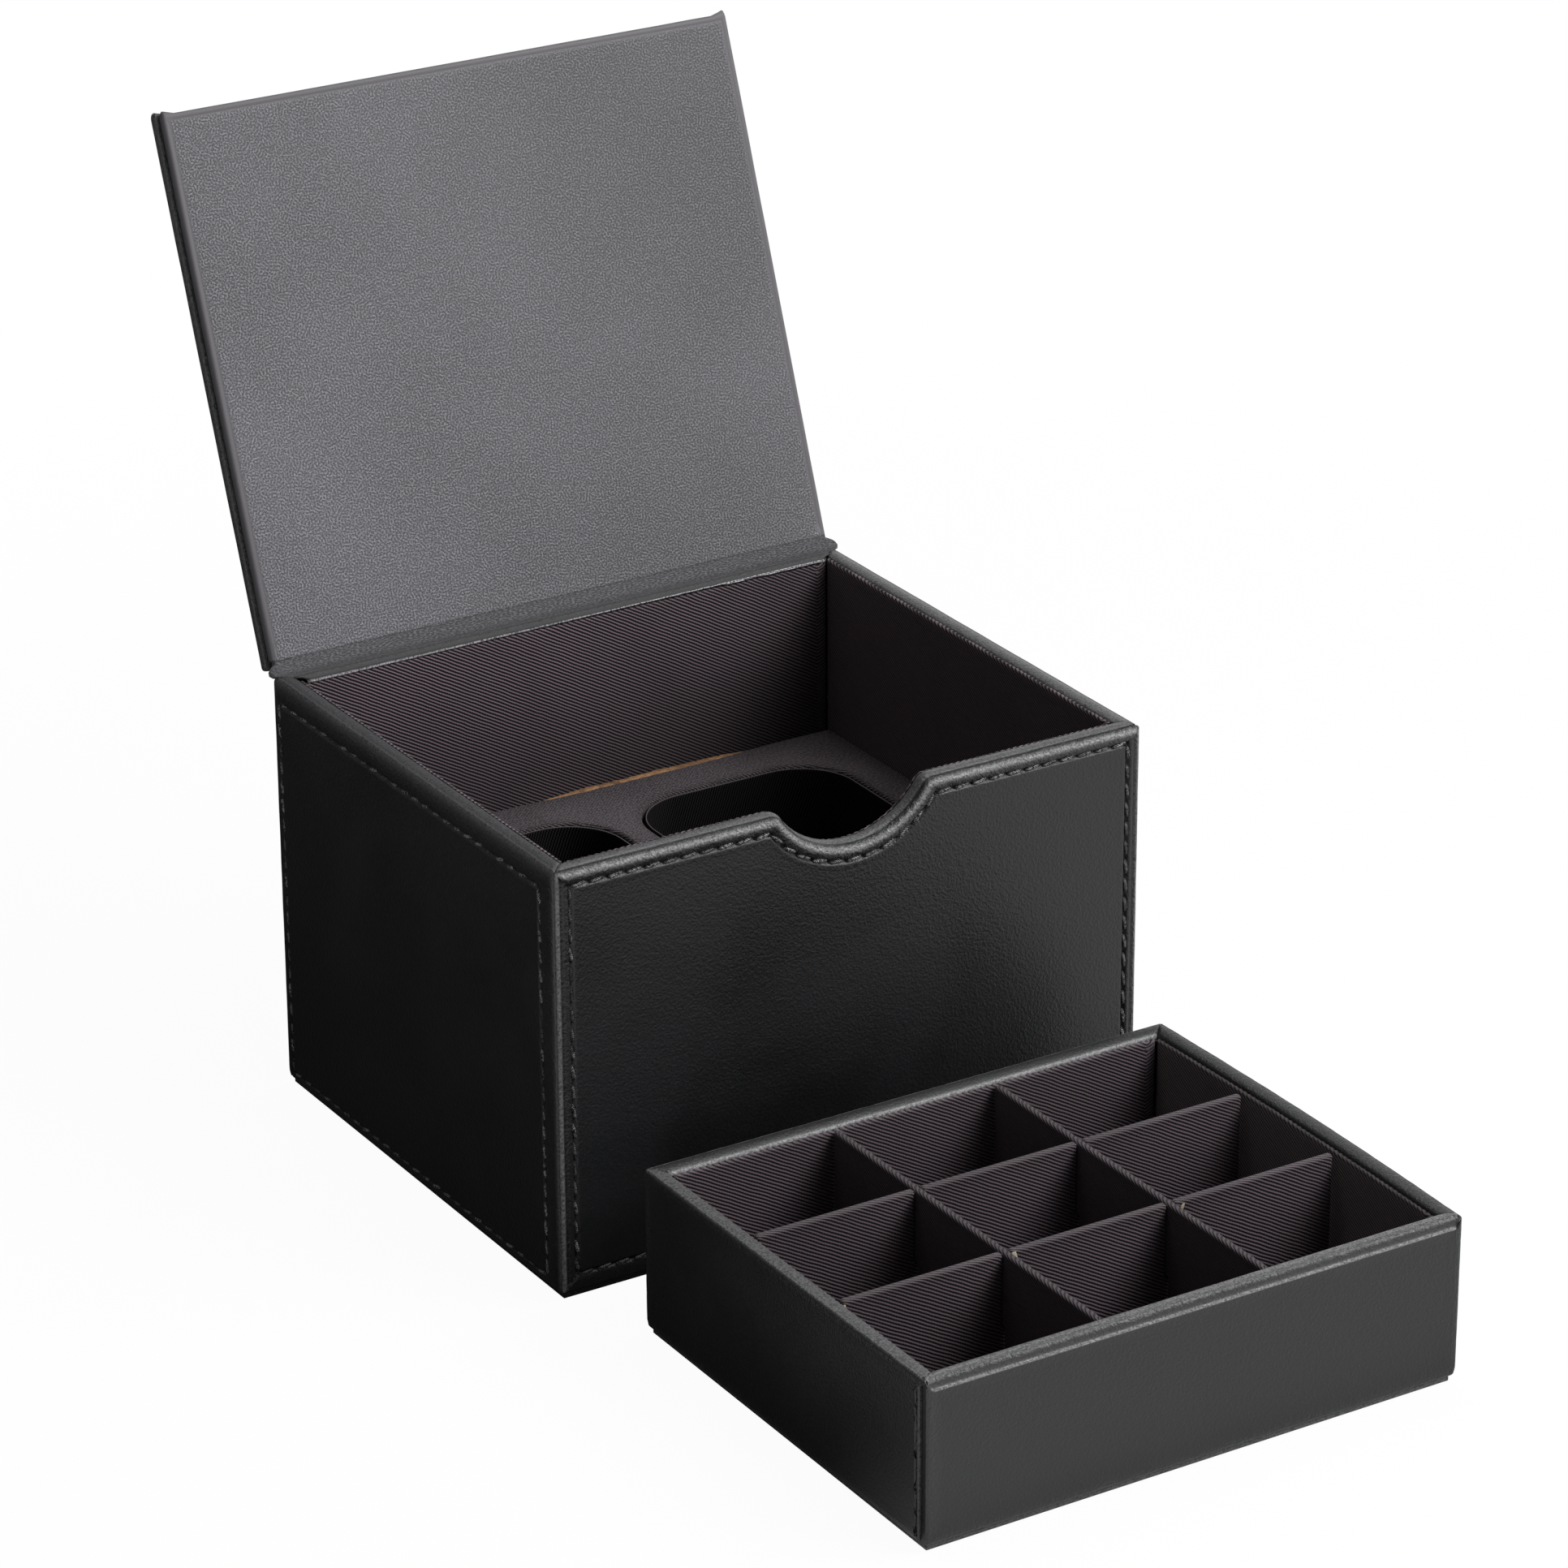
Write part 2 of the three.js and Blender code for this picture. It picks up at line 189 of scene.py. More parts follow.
class Effect:
    """A surface effect shared by several finishes, kept as one shader node group."""

    def __init__(self, name: str, outputs: tuple[str, ...], **inputs: float) -> None:
        """Makes the group with its sockets.

        Args:
            name: the group's name.
            outputs: names of the float outputs.
            inputs: defaults of the float inputs, which follow the input Vector.
        """
        self.tree = bpy.data.node_groups.new(name, "ShaderNodeTree")
        face = self.tree.interface
        face.new_socket("Vector", in_out="INPUT", socket_type="NodeSocketVector")
        for label, default in inputs.items():
            face.new_socket(label, in_out="INPUT", socket_type="NodeSocketFloat").default_value = default
        for label in outputs:
            face.new_socket(label, in_out="OUTPUT", socket_type="NodeSocketFloat")
        self.graph = Graph(self.tree)
        self.inputs = self.graph.add("NodeGroupInput").outputs[:1 + len(inputs)]
        self.sink = self.graph.add("NodeGroupOutput").inputs

    def give(self, **values: object) -> "Effect":
        """Feeds the group's outputs by name and gives the effect itself."""
        for name, value in values.items():
            self.graph.feed(self.sink[name], value)
        return self

    def put(self, graph: Graph, vector: object, **values: object) -> bpy.types.NodeOutputs:
        """Places the group in a material's graph and gives the placed node's outputs."""
        return graph.add("ShaderNodeGroup", {"Vector": vector, **values}, node_tree=self.tree).outputs


def pebble_effect() -> Effect:
    """Makes the fine pebbled grain of coated leather."""
    effect = Effect("leather_pebble", ("Height", "Fleck"), Scale=1500.0)
    g = effect.graph
    place, scale = effect.inputs
    cells = g.add("ShaderNodeTexVoronoi", {"Vector": place, "Scale": scale}, feature="SMOOTH_F1")
    fine = g.noise(place, g.times(scale, 2.2), 3.0)
    height = g.line(fine, 0.5, g.times(cells.outputs["Distance"], 0.9))
    return effect.give(Height=height, Fleck=g.span(fine, 0.52, 0.72))


def vermicule_effect() -> Effect:
    """Makes the winding raised grain of the lid's inner leather."""
    effect = Effect("leather_vermicule", ("Height", "Fleck"), Scale=430.0)
    g = effect.graph
    place, scale = effect.inputs
    values = {"Vector": place, "Scale": scale, "Frequency": 2.4, "Anisotropy": 0.0}
    worms = g.add("ShaderNodeTexGabor", values, gabor_type="2D").outputs["Value"]
    crumbs = g.noise(place, g.times(scale, 5.0))
    waves = g.line(crumbs, 0.7, g.line(worms, 0.45, -0.05))
    return effect.give(Height=g.span(waves, 0.42, 0.66), Fleck=g.noise(place, g.times(scale, 1.3)))


def cloud_effect() -> Effect:
    """Makes soft, broad variation over a surface."""
    effect = Effect("soft_cloud", ("Cloud",), Scale=20.0)
    g = effect.graph
    return effect.give(Cloud=g.span(g.noise(*effect.inputs, 3.0, 0.4), 0.3, 0.7))


def twill_effect() -> Effect:
    """Makes the slanting ribs of a twill, with yarns across them and a little unevenness."""
    effect = Effect("twill_ribs", ("Height", "Shade"), Pitch=1.15 * MM, Slope=26.0, Crisp=0.0)
    g = effect.graph
    place, pitch, slope, crisp = effect.inputs
    x, y = g.parts(place)[:2]
    angle = g.math("RADIANS", slope)
    sine = g.math("SINE", angle)
    cosine = g.math("COSINE", angle)
    across = g.line(x, sine, g.times(y, cosine))
    along = g.math("SUBTRACT", g.times(x, cosine), g.times(y, sine))
    stray = g.times(g.math("SUBTRACT", g.noise(place, 160.0), 0.5), 0.5)
    turn = g.math("ADD", g.math("DIVIDE", across, pitch), stray)
    rib = g.math("ABSOLUTE", g.wave(turn))
    yarn_turn = g.times(g.math("DIVIDE", along, pitch), 2.0 * pi)
    yarn = g.math("SINE", g.math("ADD", yarn_turn, g.times(turn, 3.1)))
    fuzz = g.noise(place, 3800.0)
    height = g.line(fuzz, 0.25, g.line(yarn, 0.08, rib))
    shade = g.line(g.math("SUBTRACT", fuzz, 0.5), g.line(crisp, -0.3, 0.5), rib)
    return effect.give(Height=height, Shade=g.span(shade, g.line(crisp, 0.2, 0.4), 0.9))


def weave_effect() -> Effect:
    """Makes a plain weave."""
    effect = Effect("plain_weave", ("Height", "Shade"), Pitch=0.55 * MM)
    g = effect.graph
    place, pitch = effect.inputs
    weave = g.times(*(g.wave(g.math("DIVIDE", part, pitch)) for part in g.parts(place)[:2]))
    fuzz = g.noise(place, 1500.0, 3.0)
    return effect.give(Height=g.line(weave, 0.5, fuzz), Shade=g.line(weave, 0.12, g.span(fuzz, 0.35, 0.65)))


class Effects:
    """The shared effects, each made once."""

    def __init__(self) -> None:
        """Makes the node groups."""
        self.pebble = pebble_effect()
        self.vermicule = vermicule_effect()
        self.cloud = cloud_effect()
        self.twill = twill_effect()
        self.weave = weave_effect()


# ---------------------------------------------------------------- finishes


@dataclass(frozen=True)
class Worn:
    """A built material and the record's slot that it belongs to."""

    material: bpy.types.Material
    slot: str


@dataclass(frozen=True)
class Finish:
    """A look that becomes one procedural material."""

    name: str
    slot: str

    def surface(self, g: Graph, effects: Effects) -> dict[str, object]:
        """Wires the look and gives the Principled shader's inputs by name."""
        raise NotImplementedError

    def build(self, effects: Effects) -> Worn:
        """Builds the material from the shared effects."""
        material = bpy.data.materials.new(self.name)
        material.use_nodes = True
        g = Graph(material.node_tree)
        shader = g.tree.nodes["Principled BSDF"]
        for name, value in self.surface(g, effects).items():
            g.feed(shader.inputs[name], value)
        return Worn(material, self.slot)


def paler_edges(g: Graph, tone: object, pale: Colour, least: float = 0.4) -> Socket:
    """Lightens a colour unevenly where a piece's edge layer says that it is cut or rubbed, or where a
    highlight is painted.

    Args:
        g: the material's graph.
        tone: the colour elsewhere.
        pale: the colour of a bare edge and of a painted highlight.
        least: share of that colour in the darkest flecks.

    Returns:
        The resulting colour.
    """
    speckle = g.noise(g.here(), 1700.0, 3.0)
    return g.mix(g.times(g.layer("edge"), g.span(speckle, 0.35, 0.6, least, 1.0)), tone, pale)


@dataclass(frozen=True)
class SmoothLeather(Finish):
    """Black coated leather with a very fine grain that wrinkles where it turns over an edge."""

    name: str = "smooth_leather"
    slot: str = "smooth_leather"
    colour: Colour = (0.004, 0.0042, 0.0045)
    worn: Colour = (0.019, 0.0202, 0.0235)
    drawn: Colour = (0.014, 0.0145, 0.016)
    pale: Colour = (0.34, 0.34, 0.345)

    def surface(self, g: Graph, effects: Effects) -> dict[str, object]:
        """Wires fine pebbles, and creases along the rims."""
        place = g.here()
        rim = g.layer("rim")
        pebble = effects.pebble.put(g, place, Scale=1500.0)
        cloud = effects.cloud.put(g, place, Scale=22.0)["Cloud"]
        creases = g.noise(place, 760.0, 3.0, 0.9)
        tone = g.mix(g.line(pebble["Fleck"], 0.5, g.times(cloud, 0.2)), self.colour, self.worn)
        tone = g.mix(g.times(rim, g.span(creases, 0.3, 0.65, 0.7, 1.0)), tone, self.drawn)
        return {
            "Base Color": paler_edges(g, tone, self.pale),
            "Roughness": g.line(rim, -0.05, g.line(cloud, 0.07, 0.38)),
            "Normal": g.bump(g.line(creases, g.times(rim, 5.0), pebble["Height"]), 0.12 * MM),
        }


@dataclass(frozen=True)
class GrainedLeather(Finish):
    """Grey leather with a winding grain, pulled smooth and darker where it bends.

    Its fade is painted shade: how much darker it gets from the left edge to the right, and from the foot up.
    """

    name: str = "grained_leather"
    slot: str = "grained_leather"
    valley: Colour = (0.038, 0.037, 0.0415)
    ridge: Colour = (0.272, 0.264, 0.29)
    smooth: Colour = (0.092, 0.087, 0.096)
    pale: Colour = (0.62, 0.6, 0.62)
    fade: tuple[float, float] = (0.25, 0.15)
    roughness: float = 0.55
    specular: float = 0.5

    def surface(self, g: Graph, effects: Effects) -> dict[str, object]:
        """Wires the grain on the flat leather's coordinates."""
        place = g.layer("weave", "Vector")
        pulled = g.layer("rim")
        grain = effects.vermicule.put(g, place, Scale=450.0)
        cloud = effects.cloud.put(g, place, Scale=14.0)["Cloud"]
        flecked = g.times(grain["Height"], g.span(grain["Fleck"], 0.3, 0.6, 0.55, 1.0))
        tone = g.mix(g.line(cloud, 0.12, g.times(flecked, 0.88)), self.valley, self.ridge)
        x, z = g.parts(place)[:2]
        # Painted shade: darker towards the right edge and away from the foot.
        across = g.span(x, -90.0 * MM, 90.0 * MM, 0.0, self.fade[0])
        painted_shade = g.math("ADD", across, g.span(z, 0.0, 150.0 * MM, 0.0, self.fade[1]))
        tone = g.mix(pulled, g.mix(painted_shade, tone, (0.0, 0.0, 0.0)), self.smooth)
        depth = g.times(flecked, g.line(pulled, -0.85, 1.0))
        return {
            "Base Color": paler_edges(g, tone, self.pale, 0.1),
            "Roughness": self.roughness,
            "Specular IOR Level": self.specular,
            "Normal": g.bump(g.line(g.noise(place, 2400.0), 0.3, depth), 0.08 * MM),
        }


@dataclass(frozen=True)
class Twill(Finish):
    """Plum-grey ribbed lining, whose ribs fade where the cloth is drawn tight over an edge.

    Its fade is painted shade: how much darker it gets to the right and downwards. Where its edge layer is
    set, it is darkened as painted shade too.
    """

    name: str = "twill_lining"
    slot: str = "twill_lining"
    groove: Colour = (0.003, 0.0018, 0.0024)
    rib: Colour = (0.138, 0.103, 0.122)
    tight: Colour = (0.06, 0.056, 0.058)
    pitch: float = 0.91 * MM
    slope: float = 30.0
    crisp: float = 0.0
    fade: float = 0.0
    gloss: float = 0.3
    sheen: float = 0.08

    def surface(self, g: Graph, effects: Effects) -> dict[str, object]:
        """Wires the ribs on the flat cloth's coordinates."""
        cloth = g.layer("weave", "Vector")
        tight = g.layer("rim")
        ribs = effects.twill.put(g, cloth, Pitch=self.pitch, Slope=self.slope, Crisp=self.crisp)
        cloud = effects.cloud.put(g, cloth, Scale=30.0)["Cloud"]
        shade = g.times(ribs["Shade"], g.line(cloud, 0.2, 0.85))
        x, z = g.parts(cloth)[:2]
        # Painted shade: darker to the right and downwards by the fade, and wherever the edge layer is set.
        painted_shade = g.line(g.span(x, -15.0 * MM, 85.0 * MM), 0.5, g.span(z, 125.0 * MM, 65.0 * MM))
        painted_shade = g.math("MAXIMUM", g.layer("edge"), g.times(painted_shade, self.fade))
        tone = g.mix(painted_shade, g.mix(shade, self.groove, self.rib), self.groove)
        return {
            "Base Color": g.mix(g.times(tight, 0.7), tone, self.tight),
            "Roughness": 0.82,
            "Specular IOR Level": self.gloss,
            "Sheen Weight": self.sheen,
            "Normal": g.bump(g.times(ribs["Height"], g.line(tight, -0.8, 1.0)), 0.26 * MM),
        }


@dataclass(frozen=True)
class PlainCloth(Finish):
    """Dull cloth over the insert, whose ribs only show where it turns down."""

    name: str = "plain_cloth"
    slot: str = "plain_cloth"
    low: Colour = (0.024, 0.0205, 0.0225)
    high: Colour = (0.112, 0.095, 0.104)
    groove: Colour = (0.006, 0.004, 0.005)

    def surface(self, g: Graph, effects: Effects) -> dict[str, object]:
        """Wires a plain weave, and ribs under it."""
        cloth = g.layer("weave", "Vector")
        turned = g.layer("rim")
        weave = effects.weave.put(g, cloth, Pitch=0.55 * MM)
        ribs = effects.twill.put(g, cloth, Pitch=0.95 * MM, Slope=54.0)
        cloud = effects.cloud.put(g, cloth, Scale=34.0)["Cloud"]
        tone = g.mix(g.line(cloud, 0.25, g.times(weave["Shade"], 0.75)), self.low, self.high)
        gap = g.times(g.math("SUBTRACT", 1.0, ribs["Shade"]), g.line(turned, 0.5, 0.2))
        return {
            "Base Color": g.mix(gap, tone, self.groove),
            "Roughness": 0.9,
            "Specular IOR Level": 0.25,
            "Normal": g.bump(g.line(ribs["Height"], g.line(turned, 1.5, 0.3), weave["Height"]), 0.12 * MM),
        }


@dataclass(frozen=True)
class RawBoard(Finish):
    """Pressed fibre board with a fibrous cut edge."""

    dark: Colour
    light: Colour

    def surface(self, g: Graph, effects: Effects) -> dict[str, object]:
        """Wires fibres that lie flat."""
        place = g.here()
        layers = g.add("ShaderNodeMapping", {"Vector": place, "Scale": (1.0, 1.0, 6.0)}).outputs[0]
        fibre = g.noise(layers, 420.0, 4.0, 0.8)
        cloud = effects.cloud.put(g, place, Scale=60.0)["Cloud"]
        shade = g.line(cloud, 0.35, g.times(g.span(fibre, 0.3, 0.7), 0.65))
        tone = g.mix(shade, self.dark, self.light)
        return {"Base Color": tone, "Roughness": 0.92, "Normal": g.bump(fibre, 0.15 * MM)}


@dataclass(frozen=True)
class Thread(Finish):
    """Twisted black sewing thread with a glossy sheen, and painted glints in its colour."""

    name: str = "sewing_thread"
    slot: str = "smooth_leather"
    low: Colour = (0.003, 0.003, 0.003)
    high: Colour = (0.42, 0.42, 0.43)
    twist: float = 0.62 * MM

    def surface(self, g: Graph, effects: Effects) -> dict[str, object]:
        """Wires the twist along each stitch, with painted glints brightest in its middle."""
        along, around = g.parts(g.layer("weave", "Vector"))[:2]
        ply = g.math("ABSOLUTE", g.wave(g.math("DIVIDE", g.math("ADD", along, around), self.twist)))
        fray = g.noise(g.here(), 1500.0)
        # Painted glints: the pale high colour shows on the twist where the edge layer lets it, most in each
        # stitch's middle.
        thread_glint = g.times(g.span(fray, 0.35, 0.6), g.layer("edge"))
        middle = g.span(g.math("ABSOLUTE", along), 1.0 * MM, 2.4 * MM, 1.0, 0.1)
        bright = g.times(g.times(g.span(ply, 0.4, 0.9), middle), thread_glint)
        return {
            "Base Color": g.mix(bright, self.low, self.high),
            "Roughness": g.span(fray, 0.2, 0.8, 0.22, 0.42),
            "Normal": g.bump(g.line(fray, 0.5, ply), 0.16 * MM),
        }


class Wardrobe:
    """All finishes, each built once."""

    def __init__(self) -> None:
        """Builds the materials."""
        effects = Effects()
        self.smooth = SmoothLeather().build(effects)
        self.grained = GrainedLeather().build(effects)
        # The hinge leather is a darker copy of the grained leather: painted shade on the band that runs over
        # the back rim.
        self.hinge = GrainedLeather(
            "hinge_leather",
            valley=(0.022, 0.022, 0.024),
            ridge=(0.15, 0.147, 0.159),
            smooth=(0.034, 0.0345, 0.036),
            fade=(0.0, 0.0),
            roughness=0.66,
            specular=0.3,
        ).build(effects)
        # The lining twills below are copies of one cloth, each painted lighter or darker for how its place is
        # lit.
        self.twill = Twill().build(effects)
        self.wall_twill = Twill("wall_twill", rib=(0.17, 0.125, 0.148), crisp=1.0).build(effects)
        # The back wall's copy also has painted shade towards its right and its foot.
        self.back_twill = Twill("back_twill", rib=(0.235, 0.173, 0.205), crisp=1.0, fade=0.6).build(effects)
        # A copy painted lighter, as painted light, for the tray's right wall.
        rubbed = {"groove": (0.03, 0.025, 0.026), "rib": (0.26, 0.215, 0.22)}
        self.rubbed_twill = Twill("rubbed_twill", **rubbed).build(effects)
        # The wells' copy is painted near black as their shade, and its pale tight tone paints a highlight
        # along the liners' folds.
        self.well_twill = Twill(
            "well_twill",
            groove=(0.001, 0.0008, 0.0009),
            rib=(0.02, 0.0175, 0.0185),
            tight=(0.17, 0.15, 0.16),
            pitch=0.8 * MM,
            slope=72.0,
            gloss=0.08,
            sheen=0.0,
        ).build(effects)
        self.cloth = PlainCloth().build(effects)
        kraft = ((0.06, 0.027, 0.011), (0.36, 0.19, 0.088))
        self.kraft = RawBoard("kraft_board", "kraft_board", *kraft).build(effects)
        grey = ((0.16, 0.15, 0.13), (0.34, 0.32, 0.28))
        self.grey = RawBoard("grey_board", "grey_board", *grey).build(effects)
        self.card = RawBoard("cut_card", "grey_board", (0.3, 0.24, 0.15), (0.6, 0.52, 0.38)).build(effects)
        self.thread = Thread().build(effects)


# ---------------------------------------------------------------- sheets grown ring by ring


class Sheet:
    """A surface that grows from ring to ring by extrusion.

    Attributes:
        mesh: the mesh being made.
        rim: layer of how much a point wrinkles or how smooth it is pulled, from 0 to 1.
        edge: layer of how rubbed or cut a point is, and of painted highlight on leather, painted glints on
            thread and painted shade on cloth, from 0 to 1.
        weave: layer of where a point lies on the flat cloth.
    """

    def __init__(self, source: bpy.types.Mesh | None = None) -> None:
        """Starts an empty mesh, or a copy of one, with its layers."""
        self.mesh = bmesh.new()
        if source:
            self.mesh.from_mesh(source)
        layers = self.mesh.verts.layers
        self.rim = layers.float.get("rim") or layers.float.new("rim")
        self.edge = layers.float.get("edge") or layers.float.new("edge")
        self.weave = layers.float_vector.get("weave") or layers.float_vector.new("weave")

    def grow(self, ring: list | None, points: Iterable[Vector], closed: bool = True) -> list:
        """Extrudes a ring and sets its copy down on new points, or lays the first ring.

        Args:
            ring: the vertices to grow from, or None.
            points: the new ring's points in order.
            closed: whether the last point joins the first.

        Returns:
            The new ring's vertices.
        """
        start = [self.mesh.verts.new(point) for point in points] if ring is None else ring
        pairs = list(pairwise(start))
        if closed:
            pairs.append((start[-1], start[0]))
        if ring is None:
            for pair in pairs:
                self.mesh.edges.new(pair)
            return start
        edges = [self.mesh.edges.get(pair) for pair in pairs]
        grown = bmesh.ops.extrude_edge_only(self.mesh, edges=edges)["geom"]
        fresh = {item for item in grown if isinstance(item, bmesh.types.BMVert)}
        twins = []
        for vert, point in zip(ring, points):
            twin = next(e.other_vert(vert) for e in vert.link_edges if e.other_vert(vert) in fresh)
            twin.co = point
            twins.append(twin)
        return twins

    def cap(self, ring: list) -> None:
        """Closes a ring with one face."""
        self.mesh.faces.new(ring)

    def mark(self, ring: Iterable, rim: float | None = None, edge: float | None = None) -> None:
        """Writes the rim or edge layer of some vertices."""
        for vert in ring:
            if rim is not None:
                vert[self.rim] = rim
            if edge is not None:
                vert[self.edge] = edge

    def lay_cloth(self, place: Callable[[Vector], tuple[float, float]]) -> None:
        """Writes where each vertex lies on the flat cloth, as its function tells."""
        for vert in self.mesh.verts:
            vert[self.weave] = (*place(vert.co), 0.0)

    def merge(self) -> None:
        """Merges doubles."""
        bmesh.ops.remove_doubles(self.mesh, verts=self.mesh.verts, dist=1e-6)

    def outward(self, way: tuple | None = None) -> None:
        """Turns the faces outwards, or all of them over if they look away from a given way."""
        if way is None:
            bmesh.ops.recalc_face_normals(self.mesh, faces=self.mesh.faces)
        elif sum(face.normal.dot(way) for face in self.mesh.faces) < 0:
            bmesh.ops.reverse_faces(self.mesh, faces=self.mesh.faces)

    def stir(self, height: float, size: float, wrinkles: bool = False) -> None:
        """Moves the surface softly in and out.

        Args:
            height: the most that a point moves.
            size: length of the waves.
            wrinkles: whether it only moves where the rim layer says so.
        """
        self.mesh.normal_update()
        moves = []
        for vert in self.mesh.verts:
            share = max(0.0, vert[self.rim] - 0.4) / 0.6 if wrinkles else 1.0
            moves.append((vert, vert.normal * height * share * noise.noise(vert.co / size)))
        for vert, move in moves:
            vert.co += move


@dataclass
class Assembly:
    """A part of the object.

    Attributes:
        wardrobe: the finishes.
        body: the body that it rides on.
    """

    wardrobe: Wardrobe
    body: str

    def dress(
        self,
        sheet: Sheet,
        name: str,
        worn: Worn,
        stands_for: Iterable[str] = (),
        place: Matrix | None = None,
        thickness: float = 0.0,
        rides: bool = True,
    ) -> bpy.types.Object:
        """Turns a sheet into a placed and dressed piece.

        Args:
            sheet: the surface.
            name: the piece's name.
            worn: its material and slot.
            stands_for: CAD nodes that it replaces.
            place: turn and shift from the sheet's own axes into the model's frame.
            thickness: wall that Solidify gives an open sheet, or 0.
            rides: whether it rides on the body.

        Returns:
            The piece.
        """
        if place is not None:
            bmesh.ops.transform(sheet.mesh, matrix=place, verts=sheet.mesh.verts)
        data = bpy.data.meshes.new(name)
        sheet.mesh.to_mesh(data)
        sheet.mesh.free()
        data.shade_smooth()
        piece = add_object(name, data)
        data.materials.append(worn.material)
        if thickness:
            wall = piece.modifiers.new("wall", "SOLIDIFY")
            wall.thickness = thickness
            wall.offset = -1.0
        if stands_for:
            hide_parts(*stands_for)
        if rides:
            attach(piece, self.body)
        LOG.info("%s: %d vertices", name, len(data.vertices))
        return piece


def repaint(node: str, worn: Worn) -> None:
    """Gives a CAD node that stays a better material."""
    slots = frame["nodes"][node].data.materials
    slots.clear()
    slots.append(worn.material)


# ---------------------------------------------------------------- panels


@dataclass(frozen=True)
class Notch:
    """A round thumb notch let into the middle of a panel's top edge.

    Attributes:
        radius: radius of its bottom.
        depth: how deep it is.
        shoulder: radius of the round at either side of it.
    """

    radius: float = 26.0 * MM
    depth: float = 13.0 * MM
    shoulder: float = 4.5 * MM


class Edge(IntEnum):
    """A panel's edges, in the order of every tuple that describes them."""

    RIGHT = 0
    TOP = 1
    LEFT = 2
    FOOT = 3


RIGHT, TOP, LEFT, FOOT = Edge
NONE = (0.0,) * 4
# A spot on a ring: x, depth, z, rim, edge, and whether a stitch hole is there.
Spot = tuple[float, float, float, float, float, bool]


@dataclass(frozen=True)
class Fold:
    """Where the leather lies at one step of its way round a panel.

    Attributes:
        insets: distances from the right, top, left and bottom edge.
        depths: distances behind the face at the same edges.
        rims: shares of wrinkling at the same edges.
        edges: shares of rubbed paleness and painted highlight at the same edges.
        pit: further depth at each stitch hole.
    """

    insets: tuple[float, ...]
    depths: tuple[float, ...] = NONE
    rims: tuple[float, ...] = NONE
    edges: tuple[float, ...] = NONE
    pit: float = 0.0


def even(inset: float, depth: float, rim: float = 0.0) -> Fold:
    """Makes a fold that is the same on all four edges."""
    return Fold((inset,) * 4, (depth,) * 4, (rim,) * 4)


